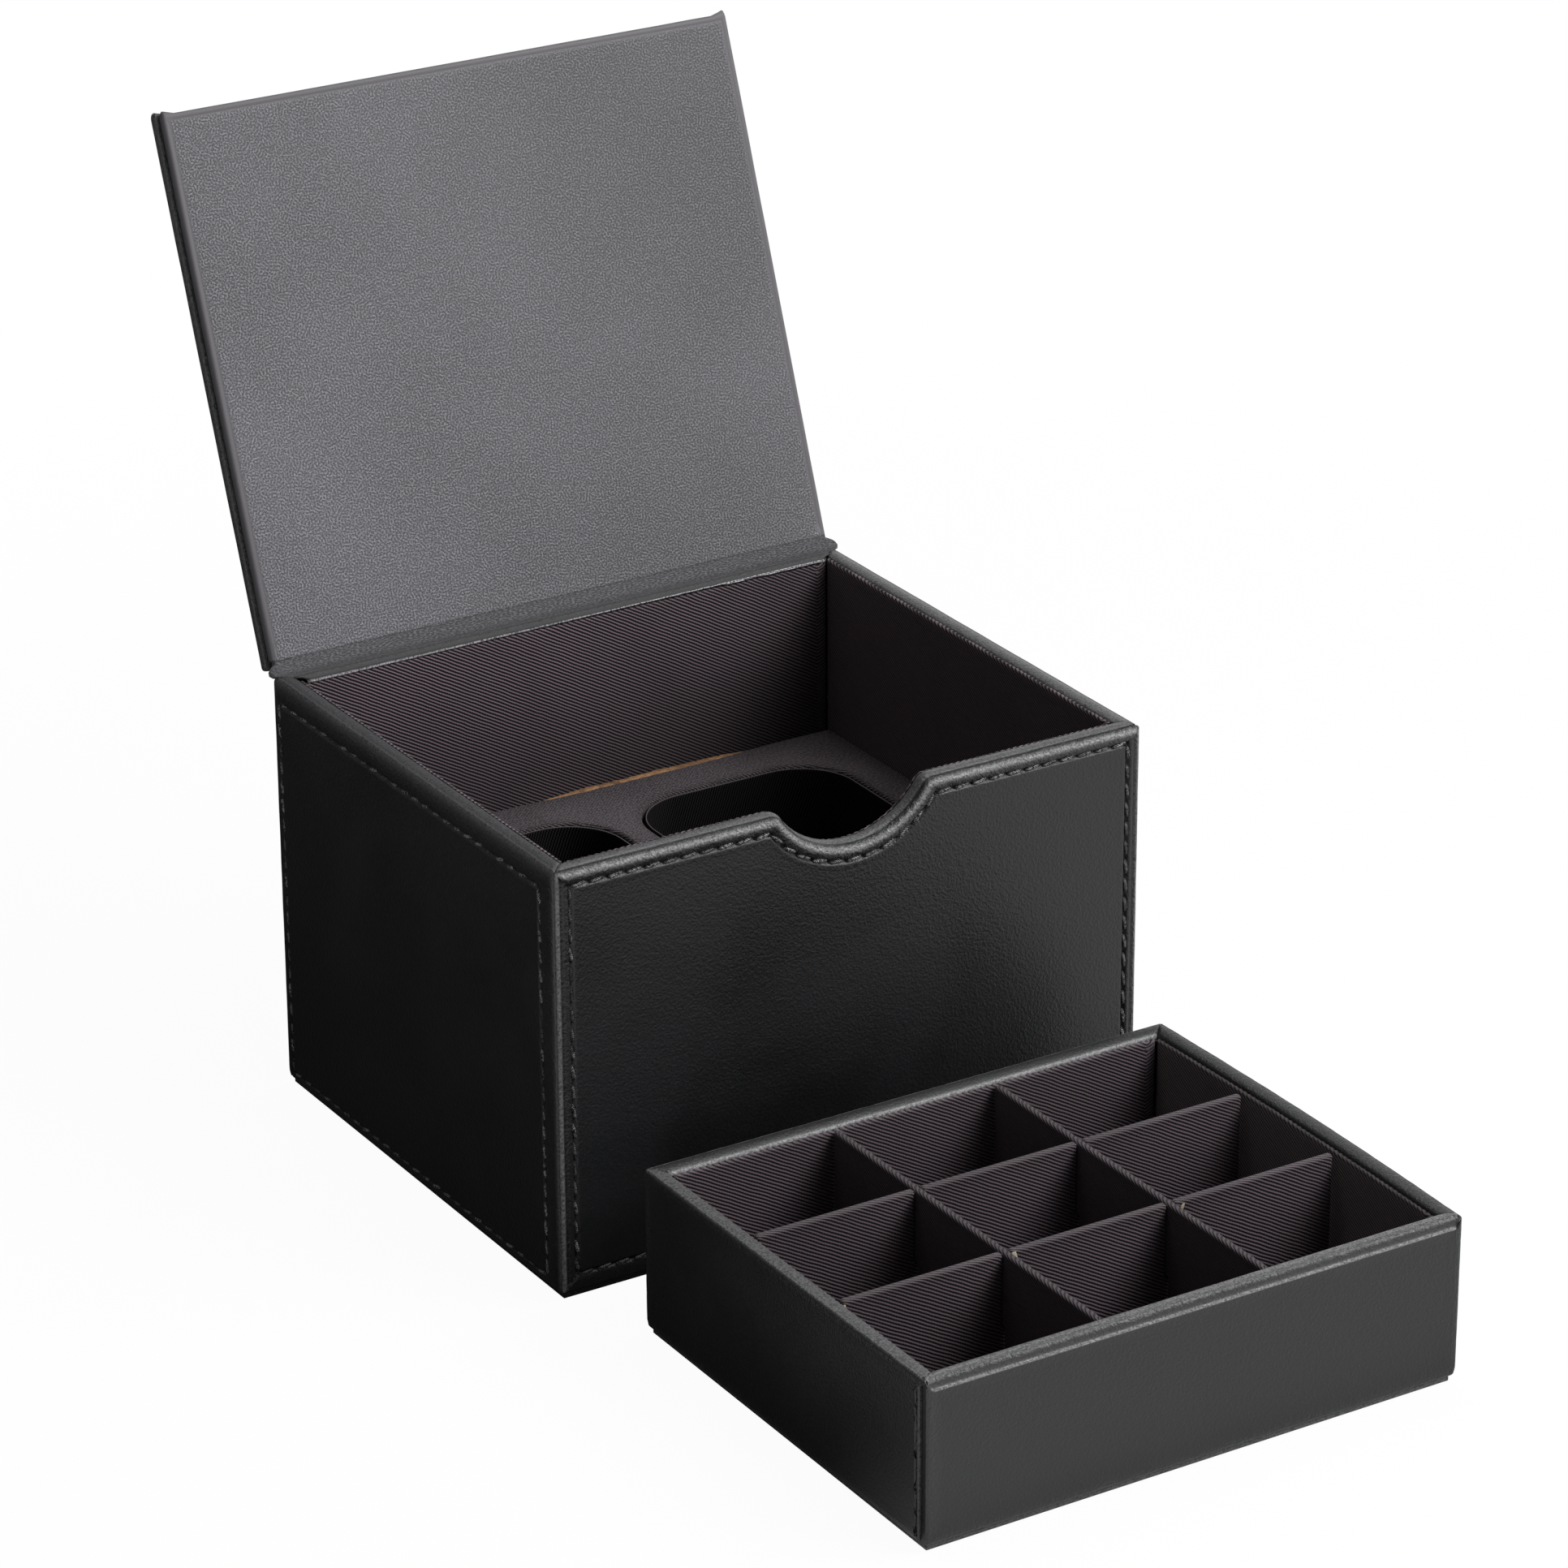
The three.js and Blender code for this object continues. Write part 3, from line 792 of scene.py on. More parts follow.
@dataclass(frozen=True)
class Outline:
    """Front view of a panel, as a fixed number of points for any inset.

    Attributes:
        half: half the panel's length.
        foot: height of the bottom edge.
        top: height of the top edge.
        spacing: distance between points along the seam line.
        seam: insets of the seam line from the right, top, left and bottom edge.
        corner: radius of the corners.
        notch: the thumb notch, if there is one.
    """

    half: float
    foot: float
    top: float
    spacing: float
    seam: tuple[float, ...] = NONE
    corner: float = 1.0 * MM
    notch: Notch | None = None

    def steps(self, length: float) -> int:
        """Gives the number of points along a stretch, four for each stitch."""
        return max(4, 4 * round(length / (4 * self.spacing)))

    def corner_arc(self, end: Edge, edge: Edge, fold: Fold) -> list[Spot]:
        """Rounds the corner of an end, RIGHT or LEFT, and an edge, TOP or FOOT."""
        side, rise = fold.insets[end], fold.insets[edge]
        x = self.half - max(self.corner, side)
        z = self.top - max(self.corner, rise) if edge == TOP else self.foot + max(self.corner, rise)
        reach_x = max(self.corner - side, 0.0)
        reach_z = max(self.corner - rise, 0.0) * (1 if edge == TOP else -1)
        sign = 1 if end == RIGHT else -1
        spots = []
        steps = 3
        rows = (fold.depths, fold.rims, fold.edges)
        for i in range(steps + 1):
            turn = i / steps * QUARTER
            depth, *marks = [row[end] + (row[edge] - row[end]) * i / steps for row in rows]
            height = z + reach_z * sin(turn)
            spots.append((sign * (x + reach_x * cos(turn)), depth, height, *marks, i in (0, steps)))
        return spots if (end == RIGHT) == (edge == TOP) else spots[::-1]

    def line(self, start: Spot, end: Spot, steps: int) -> list[Spot]:
        """Divides a straight stretch into steps and gives its inner points."""
        spots = []
        for i in range(1, steps):
            share = i / steps
            spots.append((*(a + (b - a) * share for a, b in zip(start[:5], end[:5])), i % 4 == 0))
        return spots

    def notch_arcs(self, fold: Fold) -> list[Spot]:
        """Runs through the thumb notch from right to left."""
        inset = fold.insets[TOP]
        n = self.notch
        centre = self.top - n.depth + n.radius
        shoulder = max(n.shoulder - inset, 0.0)
        ridge = self.top - max(n.shoulder, inset)
        radius = n.radius + inset
        x = sqrt((radius + shoulder) ** 2 - (centre - ridge) ** 2)
        lean = atan2(centre - ridge, -x)

        def spot(across: float, height: float, hole: bool) -> Spot:
            """Puts a point on the top edge's fold."""
            return (across, fold.depths[TOP], height, fold.rims[TOP], fold.edges[TOP], hole)

        spots = []
        steps = 6
        for i in range(steps + 1):
            turn = QUARTER + (lean - QUARTER) * i / steps
            across = x + shoulder * cos(turn)
            spots.append(spot(across, ridge + shoulder * sin(turn), i in (0, steps)))
        mirror = [(-first[0], *first[1:]) for first in spots]
        deep = max(self.seam[TOP], n.shoulder)
        sewn = n.radius + deep
        steps = self.steps(2 * acos((centre - self.top + deep) / sewn) * sewn)
        start = lean - pi
        for i in range(1, steps):
            turn = start + (-lean - start) * i / steps
            spots.append(spot(radius * cos(turn), centre + radius * sin(turn), i % 4 == 0))
        return spots + mirror[::-1]

    def ring(self, fold: Fold) -> list[Spot]:
        """Runs once round the panel, from the lower left corner along the bottom."""
        ends = ((LEFT, FOOT), (RIGHT, FOOT), (RIGHT, TOP), (LEFT, TOP))
        arcs = [self.corner_arc(end, edge, fold) for end, edge in ends]
        across = self.steps(2 * self.half - self.seam[LEFT] - self.seam[RIGHT])
        up = self.steps(self.top - self.foot - self.seam[TOP] - self.seam[FOOT])
        spots = arcs[0] + self.line(arcs[0][-1], arcs[1][0], across)
        spots += arcs[1] + self.line(arcs[1][-1], arcs[2][0], up) + arcs[2]
        if self.notch:
            cut = self.notch_arcs(fold)
            part = self.steps(self.half - self.seam[RIGHT] - self.notch.radius)
            spots += self.line(arcs[2][-1], cut[0], part) + cut + self.line(cut[-1], arcs[3][0], part)
        else:
            spots += self.line(arcs[2][-1], arcs[3][0], across)
        return spots + arcs[3] + self.line(arcs[3][-1], arcs[0][0], up)


def grow_panel(outline: Outline, folds: Iterable[Fold], capped: bool = False) -> Sheet:
    """Grows a panel's surface from the middle of its face outwards.

    Args:
        outline: the panel's front view.
        folds: its steps.
        capped: whether the last ring is closed too.

    Returns:
        The surface, with X along the panel, Y the depth and Z up.
    """
    sheet = Sheet()
    ring = None
    for fold in folds:
        spots = outline.ring(fold)
        first = ring is None
        places = [Vector((x, y + fold.pit * hole, z)) for x, y, z, *_, hole in spots]
        ring = sheet.grow(ring, places)
        if first:
            sheet.cap(ring)
        for vert, (*_, rim, edge, _hole) in zip(ring, spots):
            sheet.mark((vert,), rim, edge)
    if capped:
        sheet.cap(ring[::-1])
    sheet.merge()
    if capped:
        sheet.outward()
    sheet.mesh.normal_update()
    return sheet


# ---------------------------------------------------------------- stitches


@dataclass(frozen=True)
class Stitching:
    """One row of saddle stitches along a seam line.

    Attributes:
        pitch: distance from hole to hole.
        width: thickness of the thread.
        share: stitch length as a share of the pitch.
        slant: turn of each stitch against the seam, in degrees.
        sunk: depth of the thread's middle below the face.
        sides: sides of the thread.
        parts: divisions along it.
        shaded_foot: height below which the front wall's stitches get dimmer painted glints, as painted shade.
    """

    pitch: float = 5.6 * MM
    width: float = 1.0 * MM
    share: float = 0.95
    slant: float = 9.0
    sunk: float = 0.32 * MM
    sides: int = 6
    parts: int = 6
    shaded_foot: float = 12.0 * MM

    def template(self, sheet: Sheet) -> list:
        """Makes one stitch along X that dips into y > 0 at its ends, and gives its vertices."""
        half = self.pitch * self.share / 2
        ring = None
        made = []
        for i in range(self.parts + 1):
            t = 2 * i / self.parts - 1
            radius = self.width / 2 * sqrt(max(1.0 - abs(t) ** 5, 0.08))
            dip = self.sunk + self.width * 0.7 * t**4
            turns = [2 * pi * k / self.sides for k in range(self.sides)]
            points = [Vector((t * half, dip + radius * cos(a), radius * sin(a))) for a in turns]
            first = ring is None
            ring = sheet.grow(ring, points)
            if first:
                sheet.cap(ring[::-1])
            for k, vert in enumerate(ring):
                vert[sheet.weave] = (t * half, self.width * min(k, self.sides - k) / 2, 0.0)
            made += ring
        sheet.cap(ring)
        return made

    def sew(self, outline: Outline) -> Sheet:
        """Sews round a panel, along its outline's seam and in its own axes."""
        sheet = Sheet()
        base = self.template(sheet)
        faces = list({face for vert in base for face in vert.link_faces})
        spots = [Vector((spot[0], 0.0, spot[2])) for spot in outline.ring(Fold(outline.seam)) if spot[5]]
        spots.append(spots[0])
        shortest, longest = 0.6 * self.pitch, 1.5 * self.pitch
        # Only the front wall, whose foot seam lies this high, gets painted shade on its stitches' glints:
        # dimmer at the foot and up its ends.
        glints_dimmed = outline.seam[FOOT] > 4.5 * MM
        for number, (a, b) in enumerate(pairwise(spots)):
            if not shortest < (b - a).length < longest:
                continue
            copied = bmesh.ops.duplicate(sheet.mesh, geom=faces)["geom"]
            verts = [item for item in copied if isinstance(item, bmesh.types.BMVert)]
            stray = noise.noise(Vector((number * 1.7, 0.3, outline.half * 90.0)))
            heading = atan2(b.z - a.z, b.x - a.x) + radians(self.slant * (1.0 + 1.2 * stray))
            move = Matrix.Translation((a + b) / 2 + Vector((0.0, -0.25 * MM * stray, 0.3 * MM * stray)))
            bmesh.ops.transform(sheet.mesh, matrix=move @ Matrix.Rotation(-heading, 4, "Y"), verts=verts)
            low = max(a.z, b.z) < outline.foot + self.shaded_foot
            level = abs(b.x - a.x) > abs(b.z - a.z)
            glint_share = (0.3 if low else 1.0 if level else 0.55) if glints_dimmed else 1.0
            sheet.mark(verts, edge=glint_share * max(0.1, 1.0 + 1.4 * stray))
        bmesh.ops.delete(sheet.mesh, geom=base, context="VERTS")
        sheet.outward()
        return sheet


# ---------------------------------------------------------------- walled cases


class Side(Enum):
    """The four walls, by their quarter turns from the front one."""

    FRONT = 0
    RIGHT = 1
    BACK = 2
    LEFT = 3

    @property
    def word(self) -> str:
        """The side's name in lower case."""
        return self.name.lower()

    @property
    def lengthwise(self) -> bool:
        """Whether the wall runs along X."""
        return self in (Side.FRONT, Side.BACK)


@dataclass(frozen=True)
class Turn:
    """How leather lies from a seam to the edge that it turns round.

    Attributes:
        depths: millimetres behind the face at falling shares of the seam's inset.
        crease: inset and depth in millimetres of the crease where the rim begins.
        wrinkle: how much the leather wrinkles.
        rubs_and_sheen: how rubbed it is at each of those shares and at the crease, and how much painted
            highlight lies there.
    """

    depths: tuple[float, ...]
    crease: tuple[float, float]
    wrinkle: float
    rubs_and_sheen: tuple[float, ...]


class Profile(Enum):
    """The ways in which the walls' edges are turned."""

    # The last shares paint the edges paler. For BEAD, CREASED and RIDGE this is mostly a painted highlight:
    # on the front's bead crest, on the front's rounded near corners and along the tray front's thin top edge.
    # For PLAIN and ROLL it is faint rubbing with some painted highlight.
    BEAD = Turn(
        (0.28, -0.1, -0.38, -0.5, -0.45, -0.28, -0.02, 0.3, 0.75),
        (0.6, 1.2),
        1.0,
        (0.0, 0.0, 0.0, 0.05, 0.5, 0.85, 0.45, 0.0, 0.0, 0.0),
    )
    CREASED = Turn(
        (0.25, 0.0, -0.1, -0.02, 0.5, 0.06, -0.08, 0.0, 0.26),
        (0.4, 0.8),
        0.5,
        (0.0, 0.0, 0.0, 0.0, 0.0, 0.25, 0.42, 0.42, 0.42, 0.3),
    )
    PLAIN = Turn(
        (0.25, 0.02, -0.08, -0.08, 0.0, 0.13, 0.36, 0.66, 1.0),
        (0.22, 1.15),
        0.25,
        (0.0, 0.0, 0.0, 0.0, 0.0, 0.0, 0.08, 0.2, 0.3, 0.3),
    )
    ROLL = Turn(
        (0.0, 0.0, 0.0, 0.0, 0.01, 0.07, 0.19, 0.34, 0.56),
        (0.1, 0.72),
        0.6,
        (0.0, 0.0, 0.0, 0.0, 0.0, 0.0, 0.05, 0.12, 0.2, 0.3),
    )
    RIDGE = Turn(
        (-0.05, 0.5, 0.56, 0.58, 0.62, 0.72, 0.92, 1.2, 1.6),
        (0.12, 2.1),
        0.6,
        (0.7, 0.65, 0.2, 0.08, 0.05, 0.05, 0.05, 0.08, 0.15, 0.25),
    )


# Shares of the seam's inset at which a profile is described.
SHARES = (0.92, 0.82, 0.7, 0.57, 0.44, 0.33, 0.23, 0.15, 0.08)
# Distance inside the seam and depth in millimetres, from the middle of a face to its seam.
FACE_ROWS = ((4.4, 0.0), (2.4, 0.0), (1.4, 0.0), (1.05, 0.04), (0.82, 0.16), (0.58, 0.5), (0.0, 0.62))
# How much of a rim's rubbing and painted highlight, and of a lip's painted highlight, shows, from the rim's
# inner edge down.
RIM_SHARES = (1.0, 1.0, 0.5, 0.0, 0.0)
LIP_SHARES = (0.0, 0.1, 1.0, 0.9, 0.1)


@dataclass(frozen=True)
class Seam:
    """One wall's seam: its insets in millimetres and its edges' profiles, right, top, left and foot."""

    insets: tuple[float, ...]
    profiles: tuple[Profile, ...]

    @property
    def turns(self) -> list[Turn]:
        """How the leather turns round each edge."""
        return [profile.value for profile in self.profiles]


@dataclass
class Case(Assembly):
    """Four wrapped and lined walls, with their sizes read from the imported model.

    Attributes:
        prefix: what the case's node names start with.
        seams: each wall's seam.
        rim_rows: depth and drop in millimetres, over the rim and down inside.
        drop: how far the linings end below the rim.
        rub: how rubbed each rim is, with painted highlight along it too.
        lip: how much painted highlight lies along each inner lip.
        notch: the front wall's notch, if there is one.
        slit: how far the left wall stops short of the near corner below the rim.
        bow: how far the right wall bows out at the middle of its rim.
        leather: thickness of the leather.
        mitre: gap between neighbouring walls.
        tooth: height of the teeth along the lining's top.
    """

    prefix: str
    seams: dict[Side, Seam]
    rim_rows: tuple[tuple[float, float], ...]
    drop: dict[Side, float]
    rub: dict[Side, float]
    lip: dict[Side, float] = field(default_factory=dict)
    notch: Notch | None = None
    slit: float = 0.0
    bow: float = 0.0
    leather: float = 0.5 * MM
    mitre: float = 0.05 * MM
    tooth: float = 0.22 * MM

    def __post_init__(self) -> None:
        """Reads the sizes."""
        covers = {side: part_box(f"{self.prefix}{side.word}_cover") for side in Side}
        left, right = covers[Side.LEFT][0].x, covers[Side.RIGHT][1].x
        front, back = covers[Side.FRONT][0].y, covers[Side.BACK][1].y
        self.width = right - left
        self.depth = back - front
        self.centre = Vector(((left + right) / 2, (front + back) / 2, 0.0))
        self.thickness = covers[Side.FRONT][1].y - front
        self.foot = covers[Side.FRONT][0].z
        self.top = {side: box[1].z for side, box in covers.items()}
        self.lining_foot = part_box(f"{self.prefix}left_lining")[0].z

    @property
    def stitched(self) -> bool:
        """Whether the walls are sewn: those of the case with a notch are."""
        return self.notch is not None

    def place(self, side: Side) -> Matrix:
        """Gives the turn and shift that set a wall down on its side."""
        reach = self.depth / 2 if side.lengthwise else self.width / 2
        turn = Matrix.Rotation(side.value * QUARTER, 4, "Z")
        return Matrix.Translation(self.centre) @ turn @ Matrix.Translation((0.0, -reach, 0.0))

    def half(self, side: Side) -> float:
        """Gives half a wall's outer length."""
        return (self.width if side.lengthwise else self.depth) / 2

    def face_folds(self, side: Side) -> list[Fold]:
        """Gives the steps from the middle of a wall's face to the start of its edges."""
        seam = self.seams[side]
        turns = seam.turns
        rims = tuple(turn.wrinkle for turn in turns)
        folds = []
        pull = 1.0 if Profile.BEAD in seam.profiles else 0.55
        for beyond, depth in FACE_ROWS:
            depth *= pull
            lie = depth * MM if self.stitched else 0.0
            insets = tuple((inset + beyond) * MM for inset in seam.insets)
            some = tuple(rim * max(0.0, 1.0 - beyond / 2.4) * 0.6 for rim in rims)
            pit = max(0.0, depth - 0.2) * MM if self.stitched else 0.0
            folds.append(Fold(insets, (lie,) * 4, some, pit=pit))
        for number, share in enumerate(SHARES):
            insets = [inset * share * MM for inset in seam.insets]
            depths = [turn.depths[number] * MM for turn in turns]
            for end in (RIGHT, LEFT):
                insets[end] = max(insets[end], depths[end] + self.mitre)
            rubs_and_sheen = [turn.rubs_and_sheen[number] for turn in turns[:FOOT]]
            folds.append(Fold(tuple(insets), tuple(depths), rims, (*rubs_and_sheen, 0.0)))
        insets = [max(turn.crease[0], turn.crease[1] + 0.05) * MM for turn in turns]
        insets[TOP] = turns[TOP].crease[0] * MM
        insets[FOOT] = 0.25 * MM
        depths = tuple(turn.crease[1] * MM for turn in turns)
        rubs_and_sheen = [turn.rubs_and_sheen[-1] for turn in turns[:FOOT]]
        folds.append(Fold(tuple(insets), depths, rims, (*rubs_and_sheen, 0.0)))
        return folds

    def edge_folds(self, side: Side) -> list[Fold]:
        """Gives the steps over a wall's rim, down the lip inside and along the ends."""
        folds = []
        first, last = self.rim_rows[0][0], self.rim_rows[-1][0]
        start = max(first, self.seams[side].turns[TOP].crease[1] + 0.1)
        for row, (deep, drop) in enumerate(self.rim_rows):
            depth = deep * MM
            over = (start + (deep - first) * (last - start) / (last - first)) * MM
            inset = depth + self.mitre
            part = min(max(row - 4, 0), 4)
            rub = max(self.rub[side] * RIM_SHARES[part], self.lip.get(side, 0.0) * LIP_SHARES[part])
            depths = (depth, over, depth, min(depth, 2.2 * MM))
            folds.append(Fold((inset, drop * MM, inset, 0.3 * MM), depths, (0.25,) * 4, (rub, rub, rub, 0.0)))
        return folds

    def hides_board(self, side: Side) -> bool:
        """Whether a wall's leather stands for its board too, because it dips below the board's edge."""
        return bool(self.slit) and side in (Side.FRONT, Side.RIGHT)

    def bend(self, sheet: Sheet, side: Side, outward: float) -> None:
        """Bows the right wall, most at the middle of its rim.

        Args:
            sheet: the wall's leather or lining.
            side: the wall.
            outward: the sign of outward along the sheet's own Y.
        """
        if not self.bow or side is not Side.RIGHT:
            return
        for vert in sheet.mesh.verts:
            along = max(0.0, cos(vert.co.x / self.half(side) * QUARTER))
            vert.co.y += outward * self.bow * along * max(0.0, vert.co.z / self.top[side])

    def part_corner(self, sheet: Sheet, side: Side) -> None:
        """Opens a slit at the near corner, below the rim, between the front and the left wall."""
        if not self.slit or side not in (Side.FRONT, Side.LEFT):
            return
        left = side is Side.LEFT
        sign = 1 if left else -1
        deep = self.slit if left else 1.1 * MM
        rim_height, fade, reach, roll = 0.9 * MM, 1.1 * MM, 3.5 * MM, 0.9 * MM
        skin, strip, flare = 0.55 * MM, 4.0 * MM, 3.0 * MM
        for vert in sheet.mesh.verts:
            y = vert.co.y
            from_end = self.half(side) - sign * vert.co.x
            under = self.top[side] - vert.co.z
            share = min(1.0, max(0.0, (under - rim_height) / fade))
            if left:
                share *= min(1.0, max(0.0, 1.0 - (from_end - deep) / reach))
                bulge = roll * (1.0 - sqrt(max(0.0, 1.0 - (1.0 - min(y / roll, 1.0)) ** 2)))
                target = max(deep + bulge, y + self.mitre)
            elif y > skin and from_end < strip:
                target = deep + max(0.0, y - flare)
            else:
                continue
            vert.co.x -= sign * max(0.0, target - from_end) * share

    def tuck_foot(self, sheet: Sheet, side: Side) -> None:
        """Draws a wall's leather in along its foot."""
        most, height, skin, strip = 0.55 * MM, 3.2 * MM, 2.5 * MM, 6.0 * MM
        for vert in sheet.mesh.verts:
            tuck = most * max(0.0, 1.0 - (vert.co.z - self.foot) / height) ** 2
            vert.co.y += tuck * max(0.0, 1.0 - vert.co.y / skin)
            vert.co.x -= copysign(tuck, vert.co.x) * (abs(vert.co.x) > self.half(side) - strip)

    def build_cover(self, side: Side) -> None:
        """Makes one wall's leather and its stitches."""
        notch = self.notch if side is Side.FRONT else None
        seam = tuple(inset * MM for inset in self.seams[side].insets)
        outline = Outline(self.half(side), self.foot, self.top[side], Stitching.pitch / 4, seam, notch=notch)
        sheet = grow_panel(outline, self.face_folds(side) + self.edge_folds(side))
        self.part_corner(sheet, side)
        self.bend(sheet, side, -1.0)
        self.tuck_foot(sheet, side)
        sheet.stir(height=0.05 * MM, size=9.0 * MM)
        sheet.stir(height=0.16 * MM, size=2.4 * MM, wrinkles=True)
        wall = f"{self.prefix}{side.word}"
        parts = [f"{wall}_cover"] + [f"{wall}_board"] * self.hides_board(side)
        smooth, place = self.wardrobe.smooth, self.place(side)
        self.dress(sheet, f"{wall}_cover_leather", smooth, parts, place, self.leather)
        if self.stitched:
            thread = self.wardrobe.thread
            self.dress(Stitching().sew(outline), f"{wall}_stitches", thread, place=place)

    def lining_cloth(self, side: Side) -> Worn:
        """Chooses a lining's cloth: the copy painted lighter or darker to match how its wall is lit."""
        if self.bow:
            return self.wardrobe.rubbed_twill if side is Side.RIGHT else self.wardrobe.twill
        return self.wardrobe.back_twill if side is Side.BACK else self.wardrobe.wall_twill

    def build_lining(self, side: Side) -> None:
        """Makes one wall's lining, with a folded and pinked top edge."""
        half = self.half(side) - self.thickness
        drop = self.drop[side]
        notch = None
        if self.notch and side is Side.FRONT:
            notch = Notch(self.notch.radius + drop, self.notch.depth, self.notch.shoulder - drop)
        top = self.top[side] - drop
        outline = Outline(half, self.lining_foot, top, 0.5 * MM, corner=0.3 * MM, notch=notch)
        # Inset and depth behind the face in millimetres, and how tightly the cloth is drawn.
        rows = ((3.0, 0.0, 0.0), (1.1, 0.0, 0.0), (0.6, 0.03, 0.2), (0.3, 0.14, 0.7), (0.1, 0.34, 1.0))
        rows += ((0.0, 0.6, 1.0), (0.0, 1.0, 1.0))
        folds = [even(inset * MM, depth * MM, rim) for inset, depth, rim in rows]
        sheet = grow_panel(outline, folds)
        tooth_pitch, cloth_turn = 2.0 * MM, 2.8 * MM
        # The right wall's lining gets painted shade along its top, a dark line under the rim, instead of its
        # tight tone.
        paints_shadow = side is Side.RIGHT
        for vert in sheet.mesh.verts:
            tooth = 0.5 - 0.5 * cos(2 * pi * vert.co.x / tooth_pitch)
            if vert[sheet.rim] > 0.1:
                vert[sheet.edge] = (0.85 if self.bow else 0.2) if paints_shadow else 0.0
                vert.co.z -= self.tooth * tooth
                vert[sheet.rim] *= 0.0 if paints_shadow else max(0.0, 1.0 - 1.6 * tooth)
        seam = half - cloth_turn
        sheet.lay_cloth(lambda p: (min(p.x, 2 * seam - p.x), p.z))
        sheet.stir(height=0.1 * MM, size=22.0 * MM)
        self.bend(sheet, side, 1.0)
        inward = Matrix.Translation((0.0, self.thickness, 0.0)) @ Matrix.Rotation(pi, 4, "Z")
        node = f"{self.prefix}{side.word}_lining"
        self.dress(sheet, f"{node}_twill", self.lining_cloth(side), (node,), self.place(side) @ inward)

    def build(self) -> None:
        """Makes the four walls."""
        for side in Side:
            self.build_cover(side)
            self.build_lining(side)
            # Boards that stay take the black leather, as if it wraps them. At the tray's near slit, that
            # black also stands in for the slit's shade.
            if not self.hides_board(side):
                repaint(f"{self.prefix}{side.word}_board", self.wardrobe.smooth)


def box_case(wardrobe: Wardrobe) -> Case:
    """Describes the box's walls."""
    plain = (Profile.PLAIN,) * 4
    front = (Profile.CREASED, Profile.BEAD, Profile.CREASED, Profile.PLAIN)
    seams = {
        Side.FRONT: Seam((3.9, 4.8, 4.8, 5.3), front),
        Side.RIGHT: Seam((3.8, 6.8, 7.8, 2.8), plain),
        Side.BACK: Seam((4.5, 5.5, 4.5, 4.0), plain),
        Side.LEFT: Seam((7.8, 6.8, 3.8, 2.8), plain),
    }
    rim = ((1.5, 0.3), (1.95, 0.08), (2.9, -0.08), (3.7, -0.02), (4.4, 0.15), (4.95, 0.42), (5.35, 0.8))
    rim += ((5.55, 1.3), (5.55, 2.6))
    drop = {side: 0.55 * MM for side in Side} | {Side.BACK: 0.7 * MM}
    # Rubbed wear and painted highlight on each rim.
    rub = {Side.FRONT: 0.24, Side.RIGHT: 0.24, Side.BACK: 0.2, Side.LEFT: 0.12}
    return Case(wardrobe, "box", "", seams, rim, drop, rub, notch=Notch())


def tray_case(wardrobe: Wardrobe) -> Case:
    """Describes the tray's walls."""
    seams = {side: Seam((2.4,) * 4, (Profile.ROLL,) * 4) for side in Side}
    seams[Side.FRONT] = Seam((2.4, 3.4, 2.4, 2.4), (Profile.ROLL, Profile.RIDGE, Profile.ROLL, Profile.ROLL))
    rim = ((0.9, 0.08), (1.5, 0.0), (2.3, -0.05), (3.1, 0.05), (3.8, 0.25), (4.4, 0.55), (4.75, 0.95))
    rim += ((4.9, 1.5), (4.9, 2.3))
    drop = {side: 1.4 * MM for side in Side}
    # Rubbed wear and painted highlight on each rim, and a painted highlight along the back's inner lip.
    rub = {Side.FRONT: 0.42, Side.RIGHT: 0.05, Side.BACK: 0.03, Side.LEFT: 0.3}
    lip = {Side.BACK: 1.0}
    return Case(wardrobe, "tray", "tray_", seams, rim, drop, rub, lip, slit=3.2 * MM, bow=1.3 * MM)


# ---------------------------------------------------------------- bottoms


def softened(node: str, radius: float, place: Callable[[Vector], tuple], segments: int = 3) -> Sheet:
    """Copies a CAD solid, merges it and rounds its edges.

    Args:
        node: the CAD node.
        radius: radius of the rounded edges.
        place: gives the two cloth coordinates of a point.
        segments: divisions of the radius.

    Returns:
        The rounded surface.
    """
    sheet = Sheet(frame["nodes"][node].data)
    mesh = sheet.mesh
    sheet.merge()
    bmesh.ops.dissolve_limit(mesh, angle_limit=radians(1.0), verts=mesh.verts, edges=mesh.edges)
    bmesh.ops.bevel(
        mesh,
        geom=[edge for edge in mesh.edges if edge.is_manifold and edge.calc_face_angle() > radians(30)],
        offset=radius,
        offset_type="OFFSET",
        affect="EDGES",
        segments=segments,
        profile=0.5,
        material=-1,
        clamp_overlap=True,
    )
    sheet.outward()
    sheet.lay_cloth(place)
    return sheet


def flat(point: Vector) -> tuple[float, float]:
    """Lays cloth flat on a bottom."""
    return point.x, point.y


